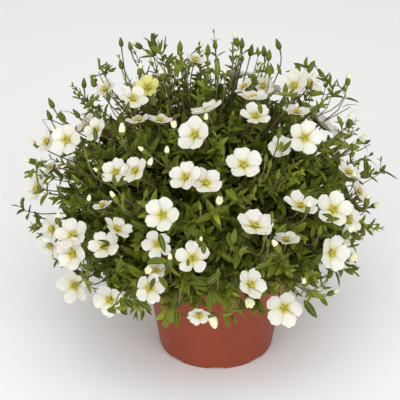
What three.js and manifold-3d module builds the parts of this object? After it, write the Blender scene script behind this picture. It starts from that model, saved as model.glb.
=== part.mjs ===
// A potted mountain sandwort: a tapered plastic pot, its compost, one domed bush of thin stems with
// opposite leaves and buds, and its white five-petalled blooms. Millimetres, +Z up. The origin is the
// middle of the pot's foot, on the surface that it stands on, and the plant's best side faces -Y.
import * as THREE from 'three';
import { mergeVertices } from 'three/addons/utils/BufferGeometryUtils.js';
import Module from 'manifold-3d';

const wasm = await Module();
wasm.setup();

// Clearance between pieces that touch
const GAP = 0.3;
// Edges shorter than this are closed up where pieces of the bush are joined
const SMALLEST_EDGE = 0.02;

// The pot
const POT_SIDES = 36;
const FOOT_R = 39.4;
const SHOULDER_R = 50.9;
const SHOULDER_Z = 70;
const RIM_R = 55;
const RIM_Z = 84;
const WALL = 1.7;
const FLOOR = 4.2;
const FOOT_EDGE = 1.2;
const RIM_EDGE = 0.6;
const SHOULDER_STEP = { out: 2, up: 1.5 };
const NOTCHES = 8;
const NOTCH = { width: 9, depth: 14, height: 2.4 };
const DRAIN = { width: 8, depth: 3.4 };

// The compost and the main stems that stand in it
const SOIL_SIDES = 18;
const SOIL_Z = 75;
// The compost's mound, as shares of the pot's radius and of the mound's height
const SOIL_MOUND = 2;
const SOIL_RINGS = [[0.68, 0.5], [0.34, 0.8], [0, 1]];
const SOIL_LUMP = 0.9;
const SOIL_WAVES = { x: 0.31, y: 0.27 };
const MAIN_STEMS = 7;
const MAIN_STEM_R = 1.6;
const MAIN_STEM_SIDES = 5;
const MAIN_STEM_RING = 15;
const MAIN_STEM_FOOT_Z = 62;
const MAIN_STEM_TOP_Z = 110;
const MAIN_STEM_RINGS = [0, 0.35, 0.7, 1];
const STEM_HOLE_R = 3.2;
const STEM_HOLE_SIDES = 6;
const MAIN_STEM_LEAN = 1.4;

// The crown is the dome that the tips of the shoots reach
const CROWN = new THREE.Vector3(-8, 0, 111.5);
const CROWN_X = 122;
const CROWN_Y = 116;
const CROWN_UP = 110;
const CROWN_DOWN = 72;

// The bushy middle, whose spikes are the blunt ends of inner shoots
const HEART = new THREE.Vector3(-6, 0, 118.5);
const HEART_SIZE = new THREE.Vector3(63, 61, 58);
const HEART_DOWN = 0.55;
const HEART_DETAIL = 5;
const SPIKE_SPACING = 15;
const SPIKE_LEVELS = [1.16, 1.42];
const SPIKE_LEAN = 6;
const LOWEST_SPIKE = -0.8;

// Leafy shoots, from the bushy middle to the crown: the heights of their rings and of their leaves
// along them, and how far a leaf rises along its shoot for each step outwards
const SHOOTS = 54;
const LOWEST_SHOOT = -0.62;
const SHOOT_LEVELS = [0.9, 1.02];
const SHOOT_R = 0.9;
const SHOOT_SIDES = 4;
const SHOOT_ROOT_LEVEL = 0.8;
const SHOOT_BEND_LEVEL = 0.78;
const SHOOT_RISE = 7;
const SHOOT_RINGS = [0, 0.3, 0.7, 1];
const SHOOT_TRIES = 12;
const LEAF_HEIGHTS = [0.4, 0.6, 0.87];
const LEAF_RISE = [0.55, 1.1];
const LEAF = { shortest: 14, longest: 20, width: 0.3, arch: 0.12, thickness: 1.1 };

// The stalks of the blooms and buds
const STALK_R = 0.8;
const STALK_SIDES = 3;
const STALK_ROOT_LEVEL = 0.86;
const STALK_FULL = 0.4;
const STALK_TRIES = 40;
const STALK_SHIFT = 1;
const STALK_STRAIGHT = [0.25, 0.5];
const STALK_CLEARANCE = 0.35;
const CALYX = { radius: 2.6, length: 4 };
const BUD = { radius: 2.1, length: 8.5, widest: 0.45 };
const BUD_TOWARDS_EYE = 0.25;
const FAR_BUDS = 30;
const FAR_BUD_LEVELS = [0.98, 1.04];
const FAR_BUD_RISE = 0.5;
const FAR_BUD_SEEN = 0.2;
const LOWEST_BUD = -0.3;
const NEAR = 6;

// The blooms
const PETALS = 5;
const CUP = 0.32;
const BLOOM_DEPTH = 1.1;
const EYE_R = 2.6;
const EYE_RIM = 0.3;
const EYE_TOP = 2.1;
// Round each petal: degrees on from its tip, and the share of the bloom's radius reached there
const PETAL_CORNERS = [[0, 1], [24, 0.94], [36, 0.5], [48, 0.94]];

// Least nearness, squared, of a bloom that faces square to the eye
const LEAST_NEARER = 0.02;

// How the blooms were placed: a picture 400 units square shows the plant from the front, looking down
// at it by VIEW_TILT, and one unit is UNIT millimetres at the pot's foot, which is at FOOT_AT.
const VIEW_TILT = THREE.MathUtils.degToRad(28.2);
const UNIT = 0.71;
const FOOT_AT = { across: 216, down: 338.5 };
const PICTURE_MIDDLE = 200;
const EYE_DISTANCE = 1300;
const SEARCH = 200;

// Blooms seen from the front, one node to a line. Each bloom is: across, down, width, how far it faces
// right and up (0 straight at the eye, 1 square to it), how far it stands out of the crown (mm), and
// the way that one of its petals points in the picture (degrees on from the right).
const SEEN_BLOOMS = [
  [[134, 96, 31, 0.3, 0.6, 0, 58]],
  [[147, 86, 25, -0.2, 0.35, -16, 20]],
  [[65, 139, 32, -0.25, 0.1, 2, 3]],
  [[94, 129, 27, -0.55, 0.45, -1, 37]],
  [[45, 141, 25, -0.6, 0.3, -20, 30]],
  [[34, 188, 29, -0.75, 0.15, -4, 25]],
  [[114, 170, 30, -0.4, 0.5, -1, 10], [133, 169, 31, -0.5, 0.5, 0, 35]],
  [[119, 226, 32, 0.45, 0.75, 0, 90]],
  [[104, 244, 33, -0.1, 0.5, 4, 38]],
  [[71, 233, 36, -0.3, 0.5, 2, 33], [70, 254, 35, -0.5, 0, 8, 0]],
  [[49, 229, 31, -0.75, 0.05, -16, 30], [48, 247, 27, -0.6, -0.5, -16, 20]],
  [[72, 287, 37, -0.45, -0.25, 0, 33]],
  [[108, 302, 36, -0.35, -0.35, 4, 40]],
  [[151, 289, 33, 0.35, -0.2, 2, 3]],
  [[156, 270, 20, 0.2, 0.2, -12, 30]],
  [[102, 204, 22, -0.3, 0.9, -10, 20]],
  [[49, 167, 18, -0.8, 0.5, -18, 10]],
  [[104, 88, 24, -0.5, 0.6, -24, 20]],
  [[196, 58, 22, 0.3, 0.85, -14, 90]],
  [[206, 106, 35, -0.35, 0.9, -6, 20]],
  [[192, 133, 37, -0.5, 0.3, 3, 15]],
  [[243, 85, 22, -0.6, 0.7, -20, 20]],
  [[253, 94, 32, 0.05, 0.95, -8, 10]],
  [[256, 113, 32, 0.1, 0.7, -1, 25]],
  [[264, 85, 22, 0.3, 0.5, -26, 30]],
  [[138, 118, 26, -0.2, 0.93, -14, 20], [160, 118, 25, 0.1, 0.93, -16, 40]],
  [[292, 84, 33, -0.5, 0.4, -3, 20]],
  [[311, 81, 26, 0.6, 0.6, -12, 30]],
  [[297, 109, 30, 0.1, 0.93, -6, 10]],
  [[306, 137, 36, 0.25, 0.1, 3, 3]],
  [[280, 146, 25, -0.2, 0.4, -12, 30]],
  [[184, 175, 34, -0.3, 0.5, 3, 15], [206, 180, 35, 0.1, 0.65, 4, 35]],
  [[244, 162, 38, 0.05, 0.5, 2, 20]],
  [[161, 214, 37, -0.25, 0.2, 3, -2]],
  [[157, 245, 32, -0.1, -0.3, -4, 40]],
  [[192, 257, 36, -0.1, 0.3, 4, 22]],
  [[256, 222, 38, 0.2, 0.72, 4, 6]],
  [[253, 283, 33, 0.5, 0.4, 4, -13]],
  [[199, 317, 24, 0, -0.7, 2, 18]],
  [[284, 310, 39, -0.1, -0.3, 0, 4]],
  [[302, 202, 37, 0.25, 0.78, 2, 12]],
  [[335, 208, 38, 0.2, 0.3, 4, 3]],
  [[352, 218, 30, 0.75, 0.2, -10, 20]],
  [[350, 170, 27, 0.5, 0.7, -10, 30]],
  [[361, 191, 24, 0.8, 0.4, -20, 10]],
  [[287, 237, 28, 0.1, 0.9, -6, 30]],
  [[335, 253, 37, 0.6, 0, 0, 0]],
  [[347, 236, 22, 0.85, 0.1, -22, 20]],
];

// Blooms on the far side, in threes whose petals touch. Each three is: degrees round from +X, degrees
// up, and how far out it stands (1 on the crown).
const FAR_BLOOMS = [
  [60, 46, 0.82],
  [122, 44, 0.82],
  [22, 26, 0.84],
  [70, 14, 0.95],
  [110, 18, 0.93],
  [156, 24, 0.84],
  [40, -10, 0.96],
  [90, -16, 1],
  [136, -12, 0.96],
];
// The three stand in a bent row: the turn between its two steps, in degrees, and how much less a step
// is than the two blooms' radii
const FAR_TOGETHER = 3;
const FAR_BEND = [60, 110];
const FAR_OVERLAP = 4.5;
const FAR_RISE = 0.25;
const FAR_SPREAD = 0.25;
const FAR_RADIUS = [9.5, 14];

// Closed buds that stand out of the crown: across, down, how far each one leans right and up in the
// picture, and how far it stands out of the crown
const SEEN_BUDS = [
  [180, 45, -0.05, 1, 0],
  [235, 39, -0.3, 1, -4],
  [243, 44, -0.05, 1, -4],
  [209, 47, -0.1, 1, -10],
  [278, 43, -0.35, 1, 0],
  [265, 54, 0, 1, -6],
  [51, 103, -0.5, 1, -4],
  [48, 114, -0.5, 1, 0],
  [84, 83, 0, 1, -6],
  [93, 82, -0.3, 1, -2],
  [122, 46, -0.4, 1, -12],
  [348, 79, 0.15, 1, 0],
  [350, 122, 0.1, 1, 0],
  [33, 143, -1, 0.6, -6],
  [29, 160, -1, 0.3, -4],
  [367, 200, 0.1, 1, -4],
  [349, 232, 0.6, 0.9, 6],
  [351, 257, 1, 0.1, 0],
  [333, 292, 1, 0.3, 2],
  [331, 275, 0.6, 0.9, 0],
  [249, 301, 0.1, -1, 8],
  [213, 321, 0.1, -0.9, 4],
  [148, 271, 0.1, 0.7, 8],
  [219, 202, 0.1, 0.6, 6],
  [89, 199, 0.2, 0.8, 4],
];

const PLASTIC = new THREE.MeshStandardMaterial({ color: 0x9a4e3c, roughness: 0.5, metalness: 0 });
const COMPOST = new THREE.MeshStandardMaterial({ color: 0x2e2118, roughness: 0.95, metalness: 0 });
const GREEN = new THREE.MeshStandardMaterial({ color: 0x4c6a1c, roughness: 0.6, metalness: 0 });
const WHITE = new THREE.MeshStandardMaterial({ color: 0xf0eee4, roughness: 0.5, metalness: 0 });
const CREAM = new THREE.MeshStandardMaterial({ color: 0xd8cf72, roughness: 0.5, metalness: 0 });
const CREAM_BLOOM = 1;

// Seeded numbers from 0 to 1, the same on each run
let seed = 20417;
function random() {
  seed = (seed + 0x6d2b79f5) | 0;
  let t = Math.imul(seed ^ (seed >>> 15), 1 | seed);
  t = (t + Math.imul(t ^ (t >>> 7), 61 | t)) ^ t;
  return ((t ^ (t >>> 14)) >>> 0) / 4294967296;
}

function between(low, high) {
  return low + (high - low) * random();
}

// A closed geometry as a solid, its shared vertices merged and its collapsed triangles dropped
function solidOf(geometry) {
  const bare = geometry.clone();
  bare.deleteAttribute('normal');
  bare.deleteAttribute('uv');
  const merged = mergeVertices(bare, 1e-4);
  const index = merged.index.array;
  const triangles = [];
  for (let i = 0; i < index.length; i += 3) {
    const [a, b, c] = [index[i], index[i + 1], index[i + 2]];
    if (a !== b && b !== c && c !== a) triangles.push(a, b, c);
  }
  return new wasm.Manifold(new wasm.Mesh({
    numProp: 3,
    vertProperties: new Float32Array(merged.attributes.position.array),
    triVerts: new Uint32Array(triangles),
  }));
}

function geometryOf(solid) {
  const mesh = solid.getMesh();
  const geometry = new THREE.BufferGeometry();
  geometry.setAttribute('position', new THREE.BufferAttribute(new Float32Array(mesh.vertProperties), 3));
  geometry.setIndex(new THREE.BufferAttribute(new Uint32Array(mesh.triVerts), 1));
  geometry.computeVertexNormals();
  return geometry;
}

// The largest body of a solid, which drops loose scraps and fills sealed hollows
function largestBody(solid) {
  const bodies = solid.decompose();
  return bodies.reduce((best, body) => (body.volume() > best.volume() ? body : best));
}

function moveVertices(geometry, rule) {
  const position = geometry.attributes.position;
  const point = new THREE.Vector3();
  for (let i = 0; i < position.count; i += 1) {
    point.fromBufferAttribute(position, i);
    rule(point);
    position.setXYZ(i, point.x, point.y, point.z);
  }
  return geometry;
}

// A turned shape standing along +Z, from a profile of radius and height
function turned(profile, sides) {
  const points = profile.map(([r, z]) => new THREE.Vector2(r, z));
  return new THREE.LatheGeometry(points, sides).rotateX(Math.PI / 2);
}

// The frame that puts a shape's +Z along one direction and its +X towards another
function frameAt(origin, along, side) {
  const z = along.clone().normalize();
  const x = side.clone().addScaledVector(z, -side.dot(z)).normalize();
  const y = new THREE.Vector3().crossVectors(z, x);
  return new THREE.Matrix4().makeBasis(x, y, z).setPosition(origin);
}

// The direction square to another at a turn about it
function sideAt(along, turn) {
  const flat = Math.abs(along.z) < 0.9 ? new THREE.Vector3(0, 0, 1) : new THREE.Vector3(1, 0, 0);
  return flat.cross(along).normalize().applyAxisAngle(along.clone().normalize(), turn);
}

function anySide(along) {
  return sideAt(along, between(0, 2 * Math.PI));
}

function makePot() {
  const slope = (SHOULDER_R - FOOT_R) / SHOULDER_Z;
  const shell = turned([
    [0, 0],
    [FOOT_R - FOOT_EDGE, 0],
    [FOOT_R, FOOT_EDGE],
    [SHOULDER_R, SHOULDER_Z],
    [SHOULDER_R + SHOULDER_STEP.out, SHOULDER_Z + SHOULDER_STEP.up],
    [RIM_R, RIM_Z - RIM_EDGE],
    [RIM_R - RIM_EDGE, RIM_Z],
    [RIM_R - WALL, RIM_Z],
    [SHOULDER_R + SHOULDER_STEP.out - WALL, SHOULDER_Z + SHOULDER_STEP.up + GAP],
    [SHOULDER_R - WALL, SHOULDER_Z],
    [FOOT_R - WALL + slope * FLOOR, FLOOR],
    [0, FLOOR],
  ], POT_SIDES);
  let pot = solidOf(shell);
  for (let i = 0; i < NOTCHES; i += 1) {
    const turn = (i * 2 * Math.PI) / NOTCHES;
    const notch = new THREE.BoxGeometry(NOTCH.width, NOTCH.depth * 2, NOTCH.height * 2);
    notch.translate(0, -FOOT_R, 0).rotateZ(turn);
    const drain = new THREE.BoxGeometry(DRAIN.width, DRAIN.depth, FLOOR * 3);
    drain.translate(0, -FOOT_R + NOTCH.depth - DRAIN.depth, 0).rotateZ(turn);
    pot = pot.subtract(solidOf(notch)).subtract(solidOf(drain));
  }
  return pot;
}

function mainStemFeet() {
  return Array.from({ length: MAIN_STEMS }, (_, i) => {
    const turn = (i * 2 * Math.PI) / (MAIN_STEMS - 1);
    const reach = i === MAIN_STEMS - 1 ? 0 : MAIN_STEM_RING;
    return new THREE.Vector3(reach * Math.cos(turn), reach * Math.sin(turn), MAIN_STEM_FOOT_Z);
  });
}

function makeSoil() {
  const slope = (SHOULDER_R - FOOT_R) / SHOULDER_Z;
  const foot = FLOOR + GAP;
  const outline = [
    [0, foot],
    [FOOT_R - WALL + slope * foot - 2 * GAP, foot],
    [SHOULDER_R - WALL - 2 * GAP, SHOULDER_Z],
    [SHOULDER_R - WALL, SOIL_Z],
    ...SOIL_RINGS.map(([reach, rise]) => [SHOULDER_R * reach, SOIL_Z + SOIL_MOUND * rise]),
  ];
  const lump = (p) => {
    const wave = Math.sin(p.x * SOIL_WAVES.x) * Math.cos(p.y * SOIL_WAVES.y);
    if (p.z > SOIL_Z + GAP) p.z += SOIL_LUMP * wave;
  };
  let soil = solidOf(moveVertices(turned(outline, SOIL_SIDES), lump));
  const depth = 2 * (SOIL_Z + SOIL_MOUND - MAIN_STEM_FOOT_Z);
  for (const stemFoot of mainStemFeet()) {
    const profile = [[0, 0], [STEM_HOLE_R, 0], [STEM_HOLE_R, depth], [0, depth]];
    const hole = turned(profile, STEM_HOLE_SIDES);
    soil = soil.subtract(solidOf(hole.translate(stemFoot.x, stemFoot.y, MAIN_STEM_FOOT_Z - 2 * GAP)));
  }
  return soil;
}

// The picture's own directions, and the eye that it was seen from
const UPRIGHT = new THREE.Vector3(0, 0, 1);
const RIGHT = new THREE.Vector3(1, 0, 0);
const UP = new THREE.Vector3(0, Math.sin(VIEW_TILT), Math.cos(VIEW_TILT));
const NEARER = new THREE.Vector3(0, -Math.cos(VIEW_TILT), Math.sin(VIEW_TILT));
const EYE = new THREE.Vector3()
  .addScaledVector(RIGHT, (PICTURE_MIDDLE - FOOT_AT.across) * UNIT)
  .addScaledVector(UP, (FOOT_AT.down - PICTURE_MIDDLE) * UNIT)
  .addScaledVector(NEARER, EYE_DISTANCE);

// Where a point is against the crown: below 1 inside it, 1 on it
function crownLevel(p) {
  const height = p.z > CROWN.z ? CROWN_UP : CROWN_DOWN;
  return Math.hypot((p.x - CROWN.x) / CROWN_X, (p.y - CROWN.y) / CROWN_Y, (p.z - CROWN.z) / height);
}

// The point of the crown that a place in the picture shows, or the nearest to it
function seenPoint(across, down, out) {
  const ray = new THREE.Vector3()
    .addScaledVector(RIGHT, (across - PICTURE_MIDDLE) * UNIT)
    .addScaledVector(UP, (PICTURE_MIDDLE - down) * UNIT)
    .addScaledVector(NEARER, -EYE_DISTANCE)
    .normalize();
  let best = EYE_DISTANCE;
  let bestLevel = Infinity;
  for (let t = EYE_DISTANCE - SEARCH; t < EYE_DISTANCE + SEARCH && bestLevel > 1; t += 1) {
    const level = crownLevel(EYE.clone().addScaledVector(ray, t));
    if (level < bestLevel) {
      best = t;
      bestLevel = level;
    }
  }
  return EYE.clone().addScaledVector(ray, best - out);
}

function inPicture(right, up, nearer) {
  return new THREE.Vector3()
    .addScaledVector(RIGHT, right)
    .addScaledVector(UP, up)
    .addScaledVector(NEARER, nearer)
    .normalize();
}

// A direction of the golden-angle spread, from straight up down to a lowest height
function spread(i, count, lowest) {
  const z = 1 - ((i + 0.5) / count) * (1 - lowest);
  const turn = i * Math.PI * (3 - Math.sqrt(5));
  const flat = Math.sqrt(1 - z * z);
  return new THREE.Vector3(flat * Math.cos(turn), flat * Math.sin(turn), z);
}

function onCrown(direction, level) {
  const height = direction.z > 0 ? CROWN_UP : CROWN_DOWN;
  return new THREE.Vector3(CROWN_X, CROWN_Y, height).multiply(direction).multiplyScalar(level).add(CROWN);
}

// A point of the bushy middle's own surface, or a share of the way out to it and beyond
function onHeart(direction, level) {
  const size = HEART_SIZE.clone();
  if (direction.z < 0) size.z *= HEART_DOWN;
  return size.multiply(direction).multiplyScalar(level).add(HEART);
}

function risen(direction, share) {
  return direction.clone().addScaledVector(UPRIGHT, share).normalize();
}

function placeSeenBloom([across, down, width, right, up, out, turn]) {
  const middle = seenPoint(across, down, out);
  const radius = (width * UNIT * middle.distanceTo(EYE)) / EYE_DISTANCE / 2;
  const nearer = Math.sqrt(Math.max(LEAST_NEARER, 1 - right * right - up * up));
  const [cos, sin] = [Math.cos(THREE.MathUtils.degToRad(turn)), Math.sin(THREE.MathUtils.degToRad(turn))];
  return {
    middle,
    radius,
    facing: inPicture(right, up, nearer),
    side: inPicture(cos, sin, -(cos * right + sin * up) / nearer),
  };
}

// A bent row of blooms round one place of the crown, each leaning out of the row's middle
function placeFarBlooms([round, up, level]) {
  const [turn, rise] = [THREE.MathUtils.degToRad(round), THREE.MathUtils.degToRad(up)];
  const flat = Math.cos(rise);
  const direction = new THREE.Vector3(flat * Math.cos(turn), flat * Math.sin(turn), Math.sin(rise));
  const outward = risen(direction, FAR_RISE);
  const step = anySide(outward);
  const bend = THREE.MathUtils.degToRad(between(...FAR_BEND));
  const radii = Array.from({ length: FAR_TOGETHER }, () => between(...FAR_RADIUS));
  const places = [new THREE.Vector3()];
  radii.slice(1).forEach((radius, i) => {
    const stride = radii[i] + radius - FAR_OVERLAP;
    const way = step.clone().applyAxisAngle(outward, i * bend);
    places.push(places[i].clone().addScaledVector(way, stride));
  });
  const centre = places.reduce((sum, place) => sum.add(place), new THREE.Vector3());
  const middle = onCrown(direction, level).addScaledVector(centre, -1 / FAR_TOGETHER);
  return places.map((place, i) => {
    const arm = place.clone().addScaledVector(centre, -1 / FAR_TOGETHER).normalize();
    const facing = outward.clone().addScaledVector(arm, FAR_SPREAD).normalize();
    return { middle: middle.clone().add(place), radius: radii[i], facing, side: anySide(facing) };
  });
}

// One bloom: a thin five-lobed cup whose petals are round at the tip and parted to half their length,
// round the raised eye of its stamens. Its +Z is the way that it faces, and its throat is the origin.
function bloomSolid(radius) {
  const step = (2 * Math.PI) / PETALS;
  const cup = turned([[0, -2], [2, 0], [1, 0], [0, 2]], PETALS * PETAL_CORNERS.length);
  moveVertices(cup, (p) => {
    const ring = Math.round(Math.hypot(p.x, p.y));
    if (ring === 0) {
      p.z = p.z < 0 ? -BLOOM_DEPTH : EYE_TOP;
      return;
    }
    const angle = (Math.atan2(p.y, p.x) + 2 * Math.PI + 1e-6) % (2 * Math.PI);
    const petal = Math.floor(angle / step + 1e-6);
    const corner = Math.floor((angle / step - petal) * PETAL_CORNERS.length + 1e-3);
    if (ring === 1) {
      const turn = (corner < PETAL_CORNERS.length - 1 ? petal : petal + 1) * step;
      p.set(EYE_R * Math.cos(turn), EYE_R * Math.sin(turn), EYE_RIM);
      return;
    }
    const [turn, reach] = PETAL_CORNERS[corner];
    const way = petal * step + THREE.MathUtils.degToRad(turn);
    p.set(radius * reach * Math.cos(way), radius * reach * Math.sin(way), CUP * radius * reach * reach);
  });
  return solidOf(cup);
}

function throatOf(bloom) {
  return bloom.middle.clone().addScaledVector(bloom.facing, -CUP * bloom.radius);
}

function placedBloom(bloom) {
  const frame = frameAt(throatOf(bloom), bloom.facing, bloom.side);
  return bloomSolid(bloom.radius).transform(frame.elements);
}

// A turned shape bent along a path: the profile's heights run from 0 to 1 over the path
function bentSolid(profile, sides, path, side) {
  const shape = turned(profile, sides);
  moveVertices(shape, (p) => {
    const tangent = path.getTangent(p.z);
    const frame = frameAt(path.getPoint(p.z), tangent, side);
    p.set(p.x, p.y, 0).applyMatrix4(frame);
  });
  return solidOf(shape);
}

// The point of a bent shape's straight run between its two rings about a height
function insideStem(path, rings, t) {
  const above = Math.max(1, rings.findIndex((ring) => ring >= t));
  const [low, high] = [rings[above - 1], rings[above]];
  return path.getPoint(low).lerp(path.getPoint(high), (t - low) / (high - low));
}

// A pointed leaf: flat above, keeled below, arched over its length, sunk at its base
function leafSolid(base, way, upper, length) {
  const blade = turned([[0, 0], [1, 0.42], [0, 1]], 3);
  moveVertices(blade, (p) => {
    const middle = Math.hypot(p.x, p.y) > 0.5;
    const keel = p.x < -0.5 || (middle && Math.abs(p.y) < 0.1);
    const side = middle && !keel ? Math.sign(p.y) : 0;
    const arch = middle ? LEAF.arch * length : 0;
    p.set(arch - (keel ? LEAF.thickness : 0), (side * LEAF.width * length) / 2, p.z * length);
  });
  return solidOf(blade).transform(frameAt(base, way, upper).elements);
}

// The bushy middle, with blunt spikes raised from it, leaning as shoots do
function makeHeart(blooms) {
  const raised = [];
  return solidOf(moveVertices(new THREE.IcosahedronGeometry(1, HEART_DETAIL), (p) => {
    const direction = p.clone();
    p.copy(onHeart(direction, 1));
    const same = raised.find((spike) => spike.from.distanceTo(p) < SMALLEST_EDGE);
    if (same) p.copy(same.to);
    const near = raised.some((spike) => spike.from.distanceTo(p) < SPIKE_SPACING);
    if (same || near || direction.z < LOWEST_SPIKE) return;
    const to = onHeart(direction, between(...SPIKE_LEVELS)).addScaledVector(anySide(direction), SPIKE_LEAN);
    const blocked = blooms.some((bloom) => throatOf(bloom).distanceTo(to) < bloom.radius + SPIKE_LEAN);
    if (blocked) to.copy(p);
    raised.push({ from: p.clone(), to });
    p.copy(to);
  }));
}

// The stems from the compost into the bushy middle
function makeMainStems() {
  return mainStemFeet().map((foot) => {
    const top = new THREE.Vector3(foot.x * MAIN_STEM_LEAN, foot.y * MAIN_STEM_LEAN, MAIN_STEM_TOP_Z);
    const path = new THREE.QuadraticBezierCurve3(foot, new THREE.Vector3(foot.x, foot.y, RIM_Z), top);
    const profile = MAIN_STEM_RINGS.map((ring) => [ring === 1 ? 0 : MAIN_STEM_R, ring]);
    return bentSolid([[0, 0], ...profile], MAIN_STEM_SIDES, path, RIGHT);
  });
}

// A path out of the bushy middle to a tip, arriving the way that the tip looks
function stalkPath(tip, way, sideways, straight) {
  const inside = tip.clone().sub(HEART);
  const root = onHeart(inside.clone().divide(HEART_SIZE).normalize(), STALK_ROOT_LEVEL);
  root.addScaledVector(anySide(inside), sideways);
  const bend = tip.clone().addScaledVector(way, -straight * tip.distanceTo(root));
  return new THREE.QuadraticBezierCurve3(root, bend, tip);
}

// The first of several bent stalks that keeps clear of the blooms
function clearStalk(tip, way, makeProfile, isClear) {
  for (let attempt = 0; attempt < STALK_TRIES; attempt += 1) {
    const path = stalkPath(tip, way, attempt * STALK_SHIFT, between(...STALK_STRAIGHT));
    const stalk = bentSolid(makeProfile(path.getLength()), STALK_SIDES, path, anySide(way));
    if (isClear(stalk, path.getPoint(0.5), path.getLength() / 2)) return [stalk];
  }
  return [];
}

// A bloom's stalk, which ends in the cup of its sepals just under the bloom
function bloomStalk(bloom, isClear) {
  const tip = throatOf(bloom).addScaledVector(bloom.facing, -BLOOM_DEPTH - STALK_CLEARANCE);
  const profile = (length) => {
    const foot = 1 - CALYX.length / length;
    return [[0, 0], [STALK_R, STALK_FULL], [STALK_R, foot], [CALYX.radius, 1], [0, 1]];
  };
  return clearStalk(tip, bloom.facing, profile, isClear);
}

// A closed bud on its stalk
function budStalk(tip, way, isClear) {
  const profile = (length) => {
    const foot = 1 - BUD.length / length;
    const widest = foot + (1 - foot) * BUD.widest;
    return [[0, 0], [STALK_R, STALK_FULL], [STALK_R, foot], [BUD.radius, widest], [0, 1]];
  };
  return clearStalk(tip, way, profile, isClear);
}

function makeBuds(isClear) {
  const seen = SEEN_BUDS.map(([across, down, right, up, out]) => {
    const way = inPicture(right, up, BUD_TOWARDS_EYE);
    return { tip: seenPoint(across, down, out).addScaledVector(way, BUD.length / 2), way };
  });
  const others = Array.from({ length: FAR_BUDS }, (_, i) => {
    const direction = spread(i, FAR_BUDS, LOWEST_BUD);
    const tip = onCrown(direction, between(...FAR_BUD_LEVELS));
    return { tip, way: risen(direction, FAR_BUD_RISE), direction };
  }).filter((bud) => bud.direction.dot(NEARER) < FAR_BUD_SEEN);
  return [...seen, ...others].flatMap((bud) => budStalk(bud.tip, bud.way, isClear));
}

// The first of several arched shoots that keeps clear of the blooms
function clearShoot(direction, isClear) {
  for (let attempt = 0; attempt < SHOOT_TRIES; attempt += 1) {
    const tip = onCrown(direction, between(...SHOOT_LEVELS));
    const side = anySide(direction);
    const bend = onCrown(direction, SHOOT_BEND_LEVEL)
      .addScaledVector(UPRIGHT, SHOOT_RISE)
      .addScaledVector(side, SHOOT_RISE + attempt);
    const path = new THREE.QuadraticBezierCurve3(onHeart(direction, SHOOT_ROOT_LEVEL), bend, tip);
    const profile = SHOOT_RINGS.map((ring) => [ring === 0 || ring === 1 ? 0 : SHOOT_R, ring]);
    const stem = bentSolid(profile, SHOOT_SIDES, path, side);
    if (isClear(stem, path.getPoint(0.5), path.getLength() / 2)) return { stem, path, side };
  }
  return {};
}

// Leafy shoots: a pair of leaves at each joint, every pair square to the last
function makeLeafyShoots(isClear) {
  const leaves = [];
  const addLeaf = (base, way, upper, shoot) => {
    const length = between(LEAF.shortest, LEAF.longest);
    const leaf = leafSolid(base, way, upper, length);
    const middle = base.clone().addScaledVector(way, length / 2);
    const crosses = leaves.some((other) => (
      other.shoot !== shoot
      && other.middle.distanceTo(middle) < LEAF.longest
      && leaf.minGap(other.leaf, GAP) < GAP
    ));
    if (!crosses && isClear(leaf, middle, length / 2)) leaves.push({ leaf, middle, shoot });
  };
  const stems = [];
  for (let shoot = 0; shoot < SHOOTS; shoot += 1) {
    const direction = spread(shoot + 0.5, SHOOTS, LOWEST_SHOOT);
    const { stem, path, side } = clearShoot(direction, isClear);
    if (!stem) continue;
    stems.push(stem);
    LEAF_HEIGHTS.forEach((height, pair) => {
      const along = path.getTangent(height);
      const base = insideStem(path, SHOOT_RINGS, height);
      for (const quarter of [pair, pair + 2]) {
        const out = side.clone().applyAxisAngle(along, (quarter + 0.5) * (Math.PI / 2));
        out.addScaledVector(along, -out.dot(along)).normalize();
        const way = along.clone().multiplyScalar(between(...LEAF_RISE)).add(out).normalize();
        addLeaf(base, way, along.clone().sub(out), shoot);
      }
    });
  }
  return [...stems, ...leaves.map((entry) => entry.leaf)];
}

function makeFoliage(blooms, bloomSolids) {
  const clearOf = (own) => (solid, middle, reach) => !blooms.some((bloom, i) => (
    i !== own
    && bloom.middle.distanceTo(middle) < bloom.radius + reach + NEAR
    && solid.minGap(bloomSolids[i], GAP) < GAP
  ));
  const parts = [
    makeHeart(blooms),
    ...makeMainStems(),
    ...blooms.flatMap((bloom, i) => bloomStalk(bloom, clearOf(i))),
    ...makeBuds(clearOf(-1)),
    ...makeLeafyShoots(clearOf(-1)),
  ];
  return largestBody(wasm.Manifold.union(parts).simplify(SMALLEST_EDGE));
}

const plant = new THREE.Group();
plant.name = 'potted_mountain_sandwort';

function addNode(name, solid, material) {
  const mesh = new THREE.Mesh(geometryOf(solid), material.clone());
  mesh.name = name;
  plant.add(mesh);
}

const nodes = [...SEEN_BLOOMS.map((row) => row.map(placeSeenBloom)), ...FAR_BLOOMS.map(placeFarBlooms)];
const blooms = nodes.flat();
const bloomSolids = blooms.map(placedBloom);

addNode('pot', makePot(), PLASTIC);
addNode('soil', makeSoil(), COMPOST);
addNode('foliage', makeFoliage(blooms, bloomSolids), GREEN);

let first = 0;
nodes.forEach((node, i) => {
  const together = bloomSolids.slice(first, first + node.length);
  first += node.length;
  const number = String(i + 1).padStart(2, '0');
  addNode(`bloom_${number}`, wasm.Manifold.union(together), i === CREAM_BLOOM ? CREAM : WHITE);
});

export default plant;
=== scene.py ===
"""The looks of a potted mountain sandwort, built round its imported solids. Metres, +Z up."""

import logging
import math
import random
from dataclasses import dataclass, field
from enum import Enum
from typing import Callable, Iterable, Sequence

import bmesh
import bpy
from mathutils import Matrix, Vector, noise
from mathutils.kdtree import KDTree


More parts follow.
